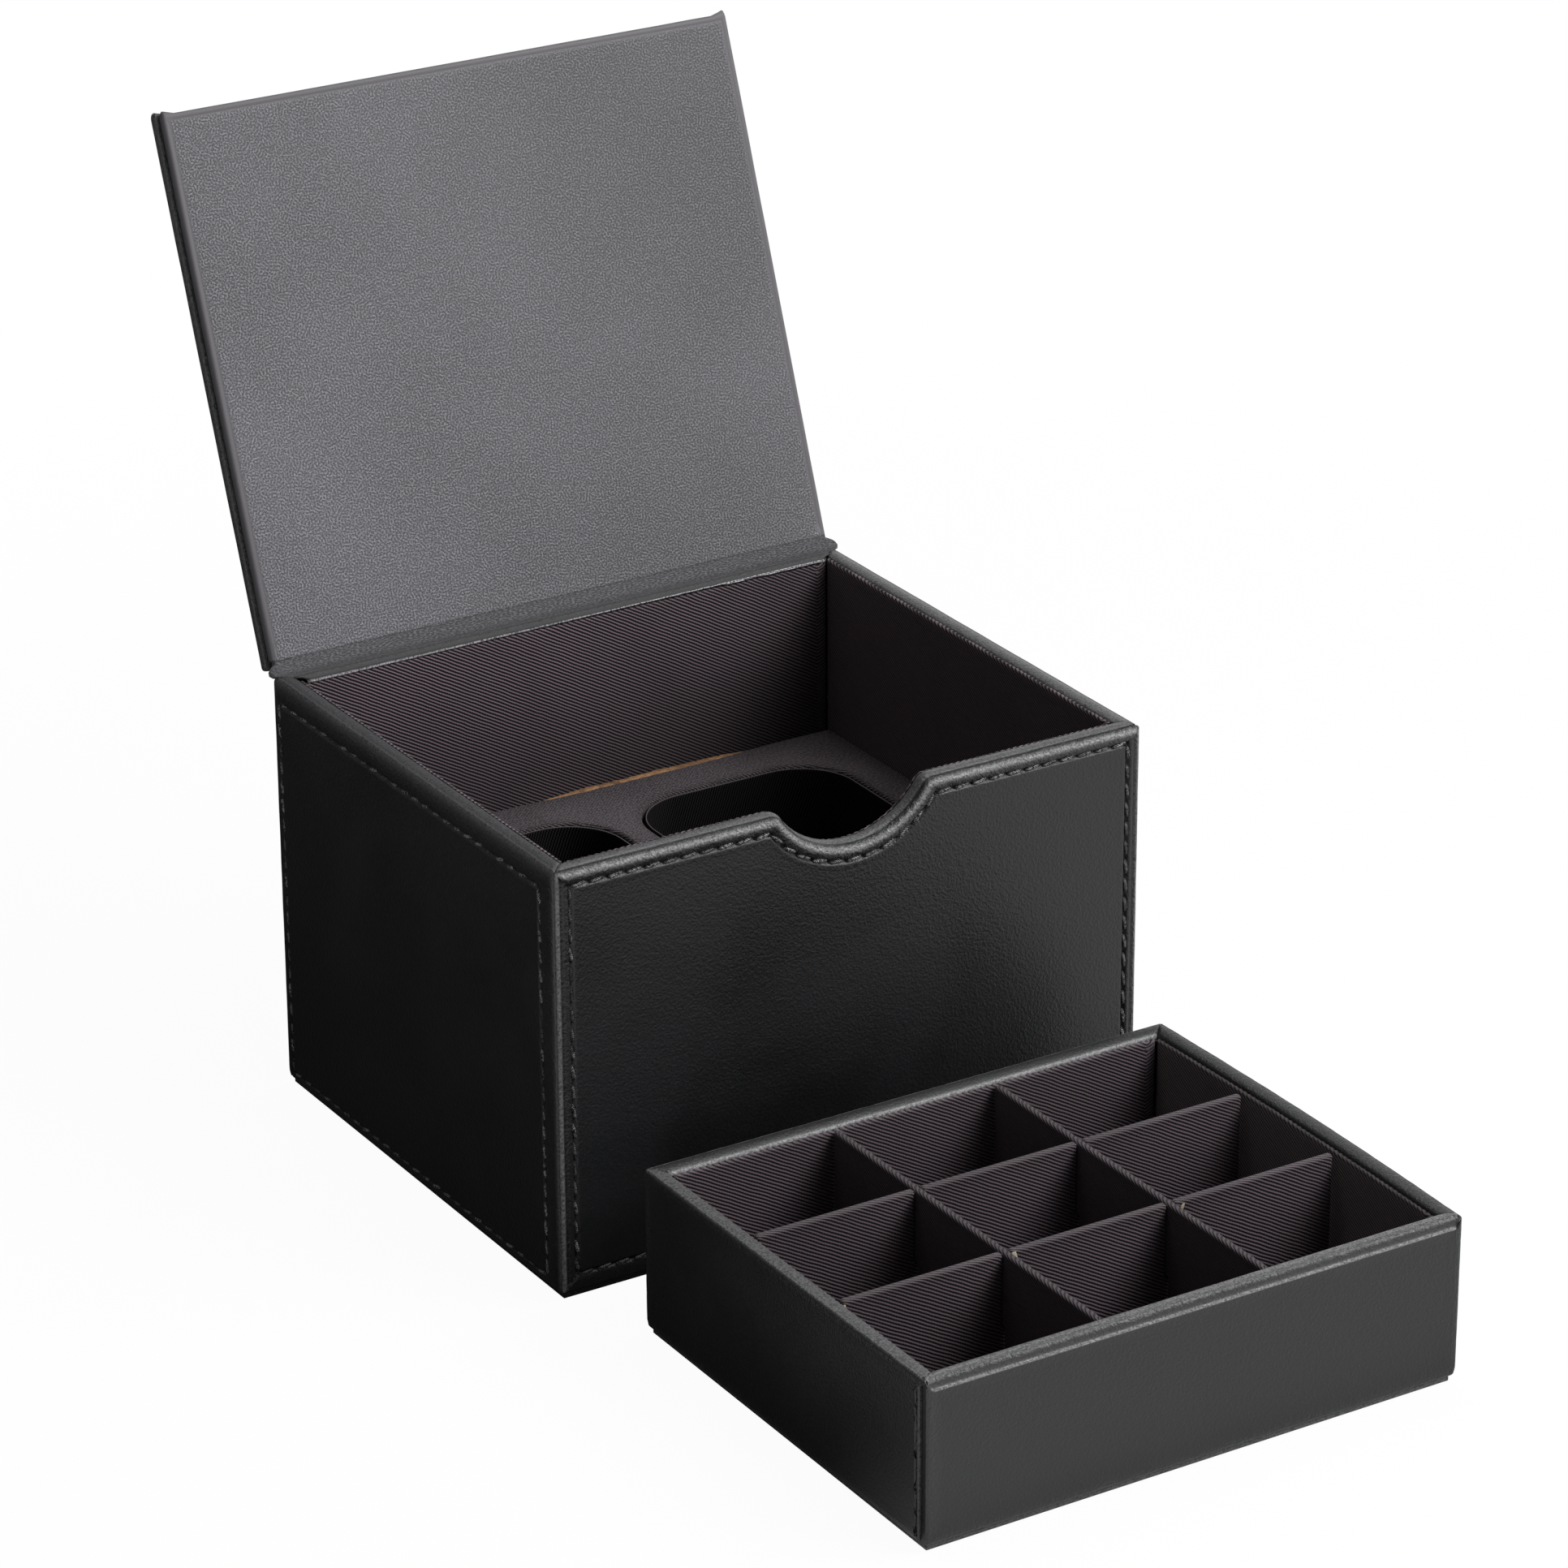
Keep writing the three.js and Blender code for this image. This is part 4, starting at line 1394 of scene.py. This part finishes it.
@dataclass
class Bottom(Assembly):
    """The wrapped base card and the lined floor of a case.

    Attributes:
        prefix: what the case's node names start with.
        shy: how much less than in the model the card's edge stands out.
        rub: how rubbed its edge is, with a painted highlight along it.
    """

    prefix: str
    shy: float
    rub: float

    def build(self) -> None:
        """Makes the pieces."""
        node = f"{self.prefix}base_cover"
        radius, strip = 0.3 * MM, 1.0 * MM
        sheet = softened(node, radius, flat)
        low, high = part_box(node)
        middle = (low + high) / 2
        for vert in sheet.mesh.verts:
            for axis in (0, 1):
                if abs(vert.co[axis] - middle[axis]) > (high - low)[axis] / 2 - strip:
                    vert.co[axis] -= copysign(self.shy, vert.co[axis] - middle[axis])
        # The whole card is painted paler by that share: rubbed wear, and a painted highlight along its edge.
        sheet.mark(sheet.mesh.verts, edge=self.rub)
        self.dress(sheet, f"{node}_leather", self.wardrobe.smooth, (node,))
        node = f"{self.prefix}floor_lining"
        self.dress(softened(node, radius, flat), f"{node}_cloth", self.wardrobe.twill, (node,))
        repaint(f"{self.prefix}base_card", self.wardrobe.smooth)
        repaint(f"{self.prefix}floor_board", self.wardrobe.grey)


# ---------------------------------------------------------------- insert


@dataclass
class Insert(Assembly):
    """The platform with its two wells.

    Attributes:
        roll: radius of the cloth's bend into a well.
        corner: radius of the wells' corners.
        card: thickness of the liners.
        bare_middle: middle of the stretch where the board's back edge is bare.
        bare_half: half the length of that stretch.
    """

    roll: float = 1.1 * MM
    corner: float = 17.0 * MM
    card: float = 1.4 * MM
    bare_middle: float = 22.3 * MM
    bare_half: float = 33.5 * MM

    def __post_init__(self) -> None:
        """Reads the sizes."""
        self.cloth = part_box("insert_cloth")
        self.liners = {side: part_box(f"{side}_well_liner") for side in ("left", "right")}

    def well_ring(self, side: str, margin: float, height: float) -> list[Vector]:
        """Runs once round a well, from the middle of its front end.

        Args:
            side: left or right.
            margin: distance outside the liner's inner face.
            height: the ring's height.

        Returns:
            The ring's points.
        """
        low, high = self.liners[side]
        grow = margin - self.card
        radius = self.corner + margin
        x0, x1 = low.x - grow + radius, high.x + grow - radius
        y0, y1 = low.y - grow + radius, high.y + grow - radius
        points = []
        steps = 12
        for cx, cy, quarter in ((x1, y0, 3), (x1, y1, 0), (x0, y1, 1), (x0, y0, 2)):
            for i in range(steps + 1):
                turn = (quarter + i / steps) * QUARTER
                points.append(Vector((cx + radius * cos(turn), cy + radius * sin(turn), height)))
        return points

    def bare(self, x: float) -> float:
        """Gives how far the board's back edge shows at a place along the box, from 0 to 1."""
        return exp(-(((x - self.bare_middle) / self.bare_half) ** 6))

    def plate(self, sheet: Sheet, outer: list[Vector], margin: float) -> tuple[list, dict[str, list]]:
        """Fills a flat plate with two wells in it.

        Args:
            sheet: where it is made.
            outer: its outline.
            margin: distance of the holes outside the liners' inner faces.

        Returns:
            The outer ring, and each well's ring by its side.
        """
        rim = sheet.grow(None, outer)
        holes = {side: sheet.grow(None, self.well_ring(side, margin, outer[0].z)) for side in self.liners}
        edges = list(sheet.mesh.edges)
        bmesh.ops.triangle_fill(sheet.mesh, use_beauty=True, use_dissolve=False, edges=edges)
        sheet.outward()
        sheet.outward((0.0, 0.0, 1.0))
        return rim, holes

    def build_cloth(self) -> None:
        """Makes the cloth over the platform, drawn down into the wells."""
        low, high = self.cloth
        sheet = Sheet()
        outer = [Vector((low.x, low.y, high.z)), Vector((high.x, low.y, high.z))]
        columns, shy, pulled, wave_height, wave_length = 80, 0.25 * MM, 1.2 * MM, 0.25 * MM, 4.0 * MM
        for i in range(columns + 1):
            x = high.x + (low.x - high.x) * i / columns
            wave = wave_height * noise.noise(Vector((x / wave_length, 0.0, 0.0)))
            outer.append(Vector((x, high.y - shy - self.bare(x) * (pulled + wave), high.z)))
        margin = self.card - 0.02 * MM
        edge = margin + self.roll
        rim, holes = self.plate(sheet, outer, edge + 1.4 * MM)
        for side, ring in holes.items():
            sheet.mark(ring, 0.15)
            rows = [(edge + 0.7 * MM, high.z, 0.35), (edge + 0.2 * MM, high.z, 0.6)]
            steps = 6
            for i in range(1, steps + 1):
                turn = i / steps * QUARTER
                reach = margin + self.roll * (1 - sin(turn))
                rows.append((reach, high.z - self.roll * (1 - cos(turn)), min(1.0, 0.7 + i / steps)))
            rows.append((margin, high.z - 2.4 * MM, 1.0))
            for reach, height, mark in rows:
                ring = sheet.grow(ring, self.well_ring(side, reach, height))
                sheet.mark(ring, mark)
        for out, down in ((0.3, 0.15), (0.5, 0.5), (0.55, 1.2)):
            points = []
            for vert, first in zip(rim, outer):
                push = out * MM if vert.co.y > 0.0 else 0.0
                points.append(Vector((first.x, first.y + push, first.z - down * MM)))
            rim = sheet.grow(rim, points)
        sheet.lay_cloth(lambda p: (p.x, p.y - (high.z - p.z)))
        sheet.merge()
        self.dress(sheet, "insert_cloth_cover", self.wardrobe.cloth, ("insert_cloth",))

    def build_board(self) -> None:
        """Makes the raw board under the cloth."""
        low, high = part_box("insert_board")
        back = high.y - 1.0 * MM
        sheet = Sheet()
        corners = ((low.x, low.y), (high.x, low.y), (high.x, back), (low.x, back))
        outer = [Vector((x, y, high.z)) for x, y in corners]
        rim, holes = self.plate(sheet, outer, self.card + 0.15 * MM)
        for ring in (rim, *holes.values()):
            sheet.grow(ring, [v.co - Vector((0.0, 0.0, high.z - low.z)) for v in ring])
        sheet.merge()
        self.dress(sheet, "insert_kraft_board", self.wardrobe.kraft, ("insert_board",))

    def build_lip(self) -> None:
        """Makes the frayed board edge that stands up behind the cloth."""
        top = self.cloth[1].z
        sheet = Sheet()
        ring = None
        columns, start, length = 110, -16.0, 76.0
        for i in range(columns + 1):
            x = (start + length * i / columns) * MM
            bare = self.bare(x)
            fray = noise.noise(Vector((x / (1.1 * MM), 0.0, 2.0)))
            lift = bare * (0.2 + 0.45 * fray + 0.4 * noise.noise(Vector((x / (6.0 * MM), 5.0, 0.0))))
            # Place along Y and height above the cloth, in millimetres.
            rows = ((67.0, -1.5), (67.25, -0.25), (67.7, lift * 0.6), (68.5, lift), (69.3, lift * 0.9 - 0.05))
            rows += ((69.75, lift * 0.5 - 0.2), (69.9, -1.2))
            points = []
            for number, (y, z) in enumerate(rows):
                sunk = 0.0 if number in (0, len(rows) - 1) else (1.0 - bare) * 1.2
                points.append(Vector((x, y * MM + 0.1 * MM * fray, top + (z - sunk) * MM)))
            ring = sheet.grow(ring, points, False)
        sheet.merge()
        sheet.mesh.normal_update()
        sheet.outward((0.0, 0.0, 1.0))
        self.dress(sheet, "insert_board_lip", self.wardrobe.kraft)

    def build_liner(self, side: str) -> None:
        """Makes one well's liner with its folded rim."""
        low, high = self.liners[side]
        top = high.z - 0.35 * MM
        # Distance behind the inner face and height beside the rim's, in millimetres, and smoothness, which on
        # the wells' twill also paints a light fold as a highlight.
        rows = ((0.0, -1.1, 0.0), (0.0, -0.3, 0.0), (0.06, -0.1, 0.5), (0.2, 0.0, 1.0), (0.34, -0.1, 0.4))
        rows += ((0.42, -0.4, 0.0), (0.5, -1.2, 0.0), (0.9, -2.6, 0.0))
        middle = [(a * MM, top + b * MM, rim) for a, b, rim in rows]
        sheet = Sheet()
        ring = None
        for margin, height, rim in ((0.0, low.z, 0.0), *middle, (0.9 * MM, low.z, 0.0)):
            points = self.well_ring(side, margin, height)
            ring = sheet.grow(ring, points)
            sheet.mark(ring, rim)
            around = 0.0
            for i, vert in enumerate(ring):
                around += (points[i] - points[i - 1]).length if i else 0.0
                vert[sheet.weave] = (around, height - margin, 0.0)
        sheet.mesh.normal_update()
        sheet.outward()
        node = f"{side}_well_liner"
        self.dress(sheet, f"{node}_twill", self.wardrobe.well_twill, (node,))

    def build(self) -> None:
        """Makes the pieces."""
        self.build_cloth()
        self.build_board()
        self.build_lip()
        for side in self.liners:
            self.build_liner(side)


# ---------------------------------------------------------------- tray dividers


class Dividers(Assembly):
    """Cloth-covered strips that part the tray into cells."""

    def build(self) -> None:
        """Makes the strips and the slivers of card where they cross."""
        for number in (1, 2):
            self.build_strip(f"tray_row_divider_{number}", 1)
            self.build_strip(f"tray_column_divider_{number}", 0)
        self.build_tabs()

    def build_strip(self, node: str, axis: int) -> None:
        """Makes one strip.

        Args:
            node: the CAD node that it stands for.
            axis: the axis across it, 1 for a row's strip and 0 for a column's.
        """
        low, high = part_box(node)
        middle = (low + high) / 2

        def place(p: Vector) -> tuple[float, float]:
            """Unfolds the cloth that runs over the strip."""
            across = p[axis] - middle[axis]
            unfolded = across + copysign(high.z - p.z, across)
            return (p.x, unfolded) if axis else (p.y, -unfolded)

        sheet = softened(node, 0.75 * MM, place, 4)
        for down in (1.0, 1.6, 2.4, 3.4, 4.8):
            geom = [*sheet.mesh.verts, *sheet.mesh.edges, *sheet.mesh.faces]
            cut = Vector((0.0, 0.0, high.z - down * MM))
            bmesh.ops.bisect_plane(sheet.mesh, geom=geom, plane_co=cut, plane_no=(0.0, 0.0, 1.0))
        sheet.lay_cloth(place)
        rubbed, swollen, swelling = 1.0 * MM, 4.8 * MM, 0.2 * MM
        for vert in sheet.mesh.verts:
            under = high.z - vert.co.z
            near = max(0.0, 1.0 - under / rubbed)
            # Rows' tops are drawn tight. Columns' tops are drawn less and get painted shade, which tones down
            # how brightly they are lit from above.
            sheet.mark((vert,), (0.7 if axis else 0.4) * near, 0.0 if axis else 0.4 * near)
            swell = swelling * max(0.0, 1.0 - under / swollen) ** 2
            vert.co[axis] += copysign(swell, vert.co[axis] - middle[axis])
        self.dress(sheet, f"{node}_twill", self.wardrobe.twill, (node,))

    def build_tabs(self) -> None:
        """Makes the slivers of bare card that show where the strips cross."""
        low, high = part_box("tray_row_divider_1")
        centre = Vector((0.0, low.y, high.z - 1.9 * MM))
        # Place along X, width and height in millimetres, and lean.
        spots = ((-73.2, 0.7, 1.8, 0.2), (-23.2, 1.6, 3.0, -0.1), (27.7, 1.0, 2.1, 0.35))
        for number, (x, width, height, lean) in enumerate(spots, 1):
            sheet = Sheet()
            ring = None
            corners = 12
            for grow, out in ((0.12, 0.0), (0.03, 0.1), (-0.15, 0.16)):
                points = []
                for i in range(corners):
                    turn = i / corners * 2 * pi
                    fray = 1.0 + 0.18 * noise.noise(Vector((i * 1.3, number * 4.0, 0.0)))
                    across, up = (
                        copysign(abs(way) ** 0.6, way) * (size / 2 + grow) * fray
                        for way, size in ((cos(turn), width), (sin(turn), height))
                    )
                    points.append(centre + Vector((x + across + lean * up, -out, up)) * MM)
                ring = sheet.grow(ring, points)
            sheet.cap(ring)
            sheet.outward()
            sheet.outward((0.0, -1.0, 0.0))
            self.dress(sheet, f"tray_card_tab_{number}", self.wardrobe.card)


# ---------------------------------------------------------------- lid


@dataclass
class Lid(Assembly):
    """Two wrapped panels and the leather that hinges them to the box.

    Attributes:
        roll: radius of the panels' edges.
        hinge_gap: distance from the hinge to the inner panel's foot.
        leather: thickness of the hinge leather.
    """

    roll: float = 0.9 * MM
    hinge_gap: float = 2.6 * MM
    leather: float = 0.55 * MM

    def __post_init__(self) -> None:
        """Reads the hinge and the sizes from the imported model."""
        joint = next(j for j in frame["joints"] if j["name"] == "lid_hinge")
        self.pivot = Vector(joint["pos_m"])
        lean = radians(joint["range_deg"][1])
        self.up = Vector((0.0, -cos(lean), sin(lean)))
        self.out = Vector((0.0, sin(lean), cos(lean)))
        halves = []
        reaches = []
        for node in ("lid_cover", "lid_inner_cover"):
            low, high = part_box(node)
            halves.append((high.x - low.x) / 2)
            spots = [v.co - self.pivot for v in frame["nodes"][node].data.vertices]
            reaches.append([max(spot.dot(way) for spot in spots) for way in (self.up, self.out)])
        self.outer_half, self.inner_half = halves
        (self.reach, self.total), (_, self.panel) = reaches

    def place(self, outer: bool) -> Matrix:
        """Gives the turn and shift from a panel's own axes to the open lid.

        Args:
            outer: whether it is the outer panel, whose face looks away from the box.

        Returns:
            The matrix: a panel's X runs along the hinge, Z away from it, Y into the panel.
        """
        sign = -1.0 if outer else 1.0
        matrix = Matrix((Vector((sign, 0.0, 0.0)), sign * self.out, self.up)).transposed().to_4x4()
        matrix.translation = self.pivot + self.out * (self.total if outer else 0.0)
        return matrix

    def folds(self, thickness: float, outer: bool) -> list[Fold]:
        """Gives the steps from a panel's face round its edge to its back.

        Args:
            thickness: the panel's thickness.
            outer: whether it is the outer panel, which is rounded at its foot too.

        Returns:
            The folds.
        """
        # Inset and depth behind the face in millimetres, and wrinkling.
        rows = ((6.0, 0.0, 0.0), (2.9, 0.0, 0.0), (2.2, 0.03, 0.5), (1.85, 0.1, 1.0), (1.6, 0.07, 1.0))
        rows += ((1.3, 0.0, 1.0),)
        folds = []
        for inset, depth, rim in rows:
            foot = (inset, depth, rim) if outer else (inset * 0.6, 0.0, 0.0)
            insets = (*(inset * MM,) * 3, foot[0] * MM)
            folds.append(Fold(insets, (*(depth * MM,) * 3, foot[1] * MM), (rim, rim, rim, foot[2])))
        steps = 6
        small = self.roll if outer else 0.4 * MM
        radii = (self.roll, self.roll, self.roll, small)
        for i in range(steps + 1):
            turn = i / steps * QUARTER
            bow, sink = 1 - sin(turn), 1 - cos(turn)
            rims = (1.0, 1.0, 1.0, 1.0 if outer else 0.3)
            folds.append(Fold(tuple(r * bow for r in radii), tuple(r * sink for r in radii), rims))
        back = 0.6 * MM
        for i in range(steps):
            turn = i / (steps - 1) * QUARTER
            folds.append(even(back * (1 - cos(turn)), thickness - back + back * sin(turn), 0.8))
        return folds

    def pull_ears(self, sheet: Sheet, half: float) -> None:
        """Pulls out the little folded ears at a panel's free corners, given half its width."""
        inset, height, radius, crumple = 1.2 * MM, 1.3 * MM, 1.5 * MM, 1.1 * MM
        for sign in (-1, 1):
            corner = Vector((sign * (half - inset), 0.0, self.reach))
            for vert in sheet.mesh.verts:
                away = (Vector((vert.co.x, 0.0, vert.co.z)) - corner).length
                share = exp(-((away / radius) ** 2))
                vert.co.z += height * share * (0.7 + 0.6 * noise.noise(vert.co / crumple))

    def build_panel(self, outer: bool) -> None:
        """Makes one wrapped panel, the outer or the inner one."""
        half = self.outer_half if outer else self.inner_half
        thickness = self.total - self.panel - 0.05 * MM if outer else self.panel
        foot = 0.35 * MM if outer else self.hinge_gap
        outline = Outline(half, foot, self.reach, 3.0 * MM)
        sheet = grow_panel(outline, self.folds(thickness, outer), True)
        sheet.lay_cloth(lambda p: (p.x, p.z))
        skin, edge, lump, lump_at, lump_size = 0.2 * MM, 1.0 * MM, 0.2 * MM, 3.5 * MM, 3.0 * MM
        for vert in sheet.mesh.verts:
            # The outer panel gets a faint painted highlight everywhere behind its face, round its edges and
            # over its back.
            if outer:
                sheet.mark((vert,), edge=0.12 if vert.co.y > skin else 0.0)
                continue
            corner = (Vector((vert.co.x, 0.0, vert.co.z)) - Vector((-half, 0.0, foot))).length
            inside = min(half - abs(vert.co.x), self.reach - vert.co.z) > edge
            vert.co.y -= lump * exp(-(((corner - lump_at) / lump_size) ** 2)) * inside
        self.pull_ears(sheet, half)
        sheet.stir(height=0.06 * MM, size=14.0 * MM)
        node = "lid_cover" if outer else "lid_inner_cover"
        worn = self.wardrobe.smooth if outer else self.wardrobe.grained
        self.dress(sheet, f"{node}_leather", worn, (node,), self.place(outer))

    def hinge_path(self) -> list[tuple[float, ...]]:
        """Gives the hinge leather's cross-section from the lip inside the box up to the lid.

        Returns:
            Points as (y, z, half length, smoothness, edge), where the edge is a painted highlight.
        """
        low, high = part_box("hinge_flap")
        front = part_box("front_cover")
        inside = (low.y, high.z, front[1].x - (front[1].y - front[0].y))
        back = (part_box("back_cover")[1].y, high.z, self.outer_half)
        # Where to start from, how far back, up and beyond its half length in millimetres, and the marks:
        # smoothness, and the edge as a painted highlight, mostly along the lip.
        rows = (
            (inside, 1.3, -1.3, -0.9, 1.0, 1.0),
            (inside, 0.75, -1.35, -0.9, 1.0, 1.0),
            (inside, 0.6, -1.1, -0.9, 1.0, 1.0),
            (inside, 0.62, -0.85, -0.8, 1.0, 1.0),
            (inside, 0.66, -0.7, -0.7, 1.0, 0.0),
            (inside, 0.8, -0.4, -0.5, 1.0, 0.0),
            (inside, 1.25, -0.02, -0.1, 1.0, 0.03),
            (inside, 2.0, 0.15, 0.8, 1.0, 0.06),
            (inside, 2.8, 0.1, 2.1, 1.0, 0.03),
            (inside, 3.3, -0.6, 3.0, 1.0, 0.0),
            (inside, 3.8, 0.02, 3.7, 0.75, 0.0),
            (inside, 4.8, 0.1, 5.0, 0.55, 0.0),
            (back, -1.7, 0.1, 0.3, 0.4, 0.0),
            (back, -0.7, 0.4, 0.9, 0.25, 0.0),
            (back, 0.1, 1.0, 0.6, 0.15, 0.0),
            (back, 0.65, 1.7, -0.2, 0.1, 0.0),
        )
        path = []
        for (y, z, half), back_by, up_by, longer, *marks in rows:
            path.append((y + back_by * MM, z + up_by * MM, half + longer * MM, *marks))
        for reach, sink in ((2.2, -0.02), (2.9, 0.1), (3.8, 0.45), (5.5, 0.9)):
            spot = self.pivot + self.up * reach * MM + self.out * sink * MM
            path.append((spot.y, spot.z, self.inner_half - 0.5 * MM, 0.2, 0.0))
        return path

    def build_hinge(self) -> None:
        """Makes the leather that runs from the lid's inner face over the back rim."""
        path = self.hinge_path()
        runs = [0.0]
        for a, b in pairwise(path):
            runs.append(runs[-1] + hypot(b[0] - a[0], b[1] - a[1]))
        sheet = Sheet()
        columns, lip_rows, wave_height, lip_tilt = 120, 4, 0.12 * MM, 0.45 * MM
        ring = None
        for i in range(columns + 1):
            share = 2 * i / columns - 1
            points = []
            for k, (y, z, half, *_) in enumerate(path):
                wave = wave_height * noise.noise(Vector((share * 26.0, k * 0.6, 3.0)))
                lip = k < lip_rows
                wave += lip_tilt * share if lip else 0.0
                points.append(Vector((share * half, y + wave * (not lip), z + wave)))
            ring = sheet.grow(ring, points, False)
            for vert, run, (*_, smooth, edge) in zip(ring, runs, path):
                sheet.mark((vert,), smooth, edge)
                vert[sheet.weave] = (vert.co.x * 0.55, self.hinge_gap + (run - runs[-3]) * 1.5, 0.0)
        sheet.merge()
        sheet.mesh.normal_update()
        sheet.outward((0.0, 0.0, 1.0))
        worn = self.wardrobe.hinge
        piece = self.dress(sheet, "hinge_leather", worn, ("hinge_flap",), thickness=self.leather, rides=False)
        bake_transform(piece)

    def build(self) -> None:
        """Makes the lid."""
        self.build_panel(True)
        self.build_panel(False)
        self.build_hinge()
        for node in ("lid_board", "lid_inner_board"):
            repaint(node, self.wardrobe.grey)


# ---------------------------------------------------------------- stage


@dataclass(frozen=True)
class Stage:
    """Floor, surroundings, lamps and camera.

    Attributes:
        eye: where the camera stands.
        yaw: its turn to the right, in degrees.
        pitch: its tilt downwards, in degrees.
        roll: its spin, in degrees.
        lens: its focal length in millimetres.
        shift: its lens shift.
        fill: strength of the surroundings' soft light on the left and on the right.
    """

    eye: tuple[float, float, float] = (-0.7913, -1.3264, 0.7731)
    yaw: float = 31.926
    pitch: float = 23.597
    roll: float = -0.153
    lens: float = 143.3
    shift: tuple[float, float] = (-0.0186, -0.0021)
    fill: tuple[float, float] = (0.05, 0.35)

    def build_camera(self) -> None:
        """Sets up the camera."""
        data = bpy.data.cameras.new("camera")
        data.lens = self.lens
        data.sensor_width = 36.0
        data.shift_x, data.shift_y = self.shift
        data.clip_end = 20.0
        camera = add_object("camera", data)
        turns = ((-self.yaw, "Z"), (90.0 - self.pitch, "X"), (self.roll, "Z"))
        matrix = Matrix.Translation(self.eye)
        for angle, axis in turns:
            matrix = matrix @ Matrix.Rotation(radians(angle), 4, axis)
        camera.matrix_world = matrix
        bpy.context.scene.camera = camera

    def build_floor(self) -> None:
        """Lays a wide white floor that keeps a soft shadow and is darker behind the object."""
        mesh = bmesh.new()
        bmesh.ops.create_grid(mesh, x_segments=4, y_segments=4, size=4.0)
        data = bpy.data.meshes.new("floor")
        mesh.to_mesh(data)
        mesh.free()
        floor = add_object("floor", data)
        material = bpy.data.materials.new("white_floor")
        material.use_nodes = True
        g = Graph(material.node_tree)
        g.tree.nodes.remove(g.tree.nodes["Principled BSDF"])
        plain = g.add("ShaderNodeBsdfDiffuse", {"Color": (0.8, 0.8, 0.8)}).outputs[0]
        bright = g.add("ShaderNodeEmission", {"Color": WHITE, "Strength": 1.0}).outputs[0]
        place = g.here()
        reach = g.add("ShaderNodeVectorMath", {0: place}, operation="LENGTH").outputs["Value"]
        seen = g.blend(g.span(reach, 0.3, 0.7, 0.96, 1.0), plain, bright)
        x, y = g.parts(place)[:2]
        # The floor that glossy leather mirrors is bright in front and on the right, and dim elsewhere.
        ahead = g.times(y, -1.0)
        near = g.math("MAXIMUM", g.span(ahead, 0.2, 0.26), g.span(x, 0.08, 0.13))
        near = g.math("MAXIMUM", near, g.span(g.line(x, -0.55, ahead), 0.22, 0.36))
        beside = g.times(g.span(g.times(x, -1.0), 0.13, 0.17), g.span(ahead, 0.08, 0.11))
        near = g.math("MAXIMUM", near, beside)
        share = g.math("ADD", g.math("MAXIMUM", near, g.times(g.span(x, -0.5, -0.75), 0.7)), 0.03)
        mirrored = g.add("ShaderNodeEmission", {"Color": WHITE, "Strength": share}).outputs[0]
        path = g.add("ShaderNodeLightPath").outputs
        result = g.blend(path["Is Camera Ray"], g.blend(path["Is Glossy Ray"], plain, mirrored), seen)
        g.feed(g.tree.nodes["Material Output"].inputs["Surface"], result)
        material.cycles.emission_sampling = "NONE"
        data.materials.append(material)

    def build_world(self) -> None:
        """Surrounds the object with a studio that is white low down and darker above and on the left."""
        world = bpy.data.worlds.new("studio")
        world.use_nodes = True
        world.cycles.sampling_method = "NONE"
        bpy.context.scene.world = world
        g = Graph(world.node_tree)
        path = g.add("ShaderNodeLightPath").outputs
        x, y, z = g.parts(g.add("ShaderNodeTexCoord").outputs["Generated"])
        left = g.span(y, -0.4, 0.3, 0.5, 0.12)
        low = g.line(g.span(x, -0.2, 0.15), g.math("SUBTRACT", 1.0, left), left)
        mirrored = g.line(g.span(z, 0.47, 0.56), g.math("SUBTRACT", 0.08, low), low)
        soft = g.span(x, -0.6, 0.8, *self.fill)
        apart = g.line(path["Is Glossy Ray"], g.math("SUBTRACT", mirrored, soft), soft)
        ground = g.tree.nodes["Background"].inputs
        g.feed(ground["Color"], WHITE)
        g.feed(ground["Strength"], g.math("MAXIMUM", path["Is Camera Ray"], apart))

    def build_lamp(self, name: str, at: tuple, size: tuple[float, float], power: float) -> None:
        """Hangs one softbox, aimed at the middle of the object.

        Args:
            name: the lamp's name.
            at: where it hangs.
            size: its width and height.
            power: its power in watts.
        """
        data = bpy.data.lights.new(name, "AREA")
        data.shape = "RECTANGLE"
        data.size, data.size_y = size
        data.energy = power
        lamp = add_object(name, data)
        aim = Vector((0.0, -0.05, 0.1)) - Vector(at)
        lamp.matrix_world = Matrix.Translation(at) @ aim.to_track_quat("-Z", "Y").to_matrix().to_4x4()

    def build(self) -> None:
        """Builds the stage."""
        self.build_camera()
        self.build_floor()
        self.build_world()
        self.build_lamp("key_softbox", (0.7, -0.7, 1.0), (0.9, 0.7), 17.0)
        self.build_lamp("top_softbox", (0.15, 0.1, 1.3), (0.8, 0.8), 7.0)
        bpy.context.scene.view_settings.view_transform = "Standard"


# ---------------------------------------------------------------- assembly


def main() -> None:
    """Builds every piece in order."""
    logging.basicConfig(level=logging.INFO, format="%(name)s %(message)s")
    wardrobe = Wardrobe()
    box_case(wardrobe).build()
    Bottom(wardrobe, "box", "", 0.3 * MM, 0.02).build()
    Insert(wardrobe, "box").build()
    Lid(wardrobe, "lid").build()
    tray_case(wardrobe).build()
    Bottom(wardrobe, "tray", "tray_", 0.2 * MM, 0.3).build()
    Dividers(wardrobe, "tray").build()
    Stage().build()


if __name__ == "__main__":
    main()
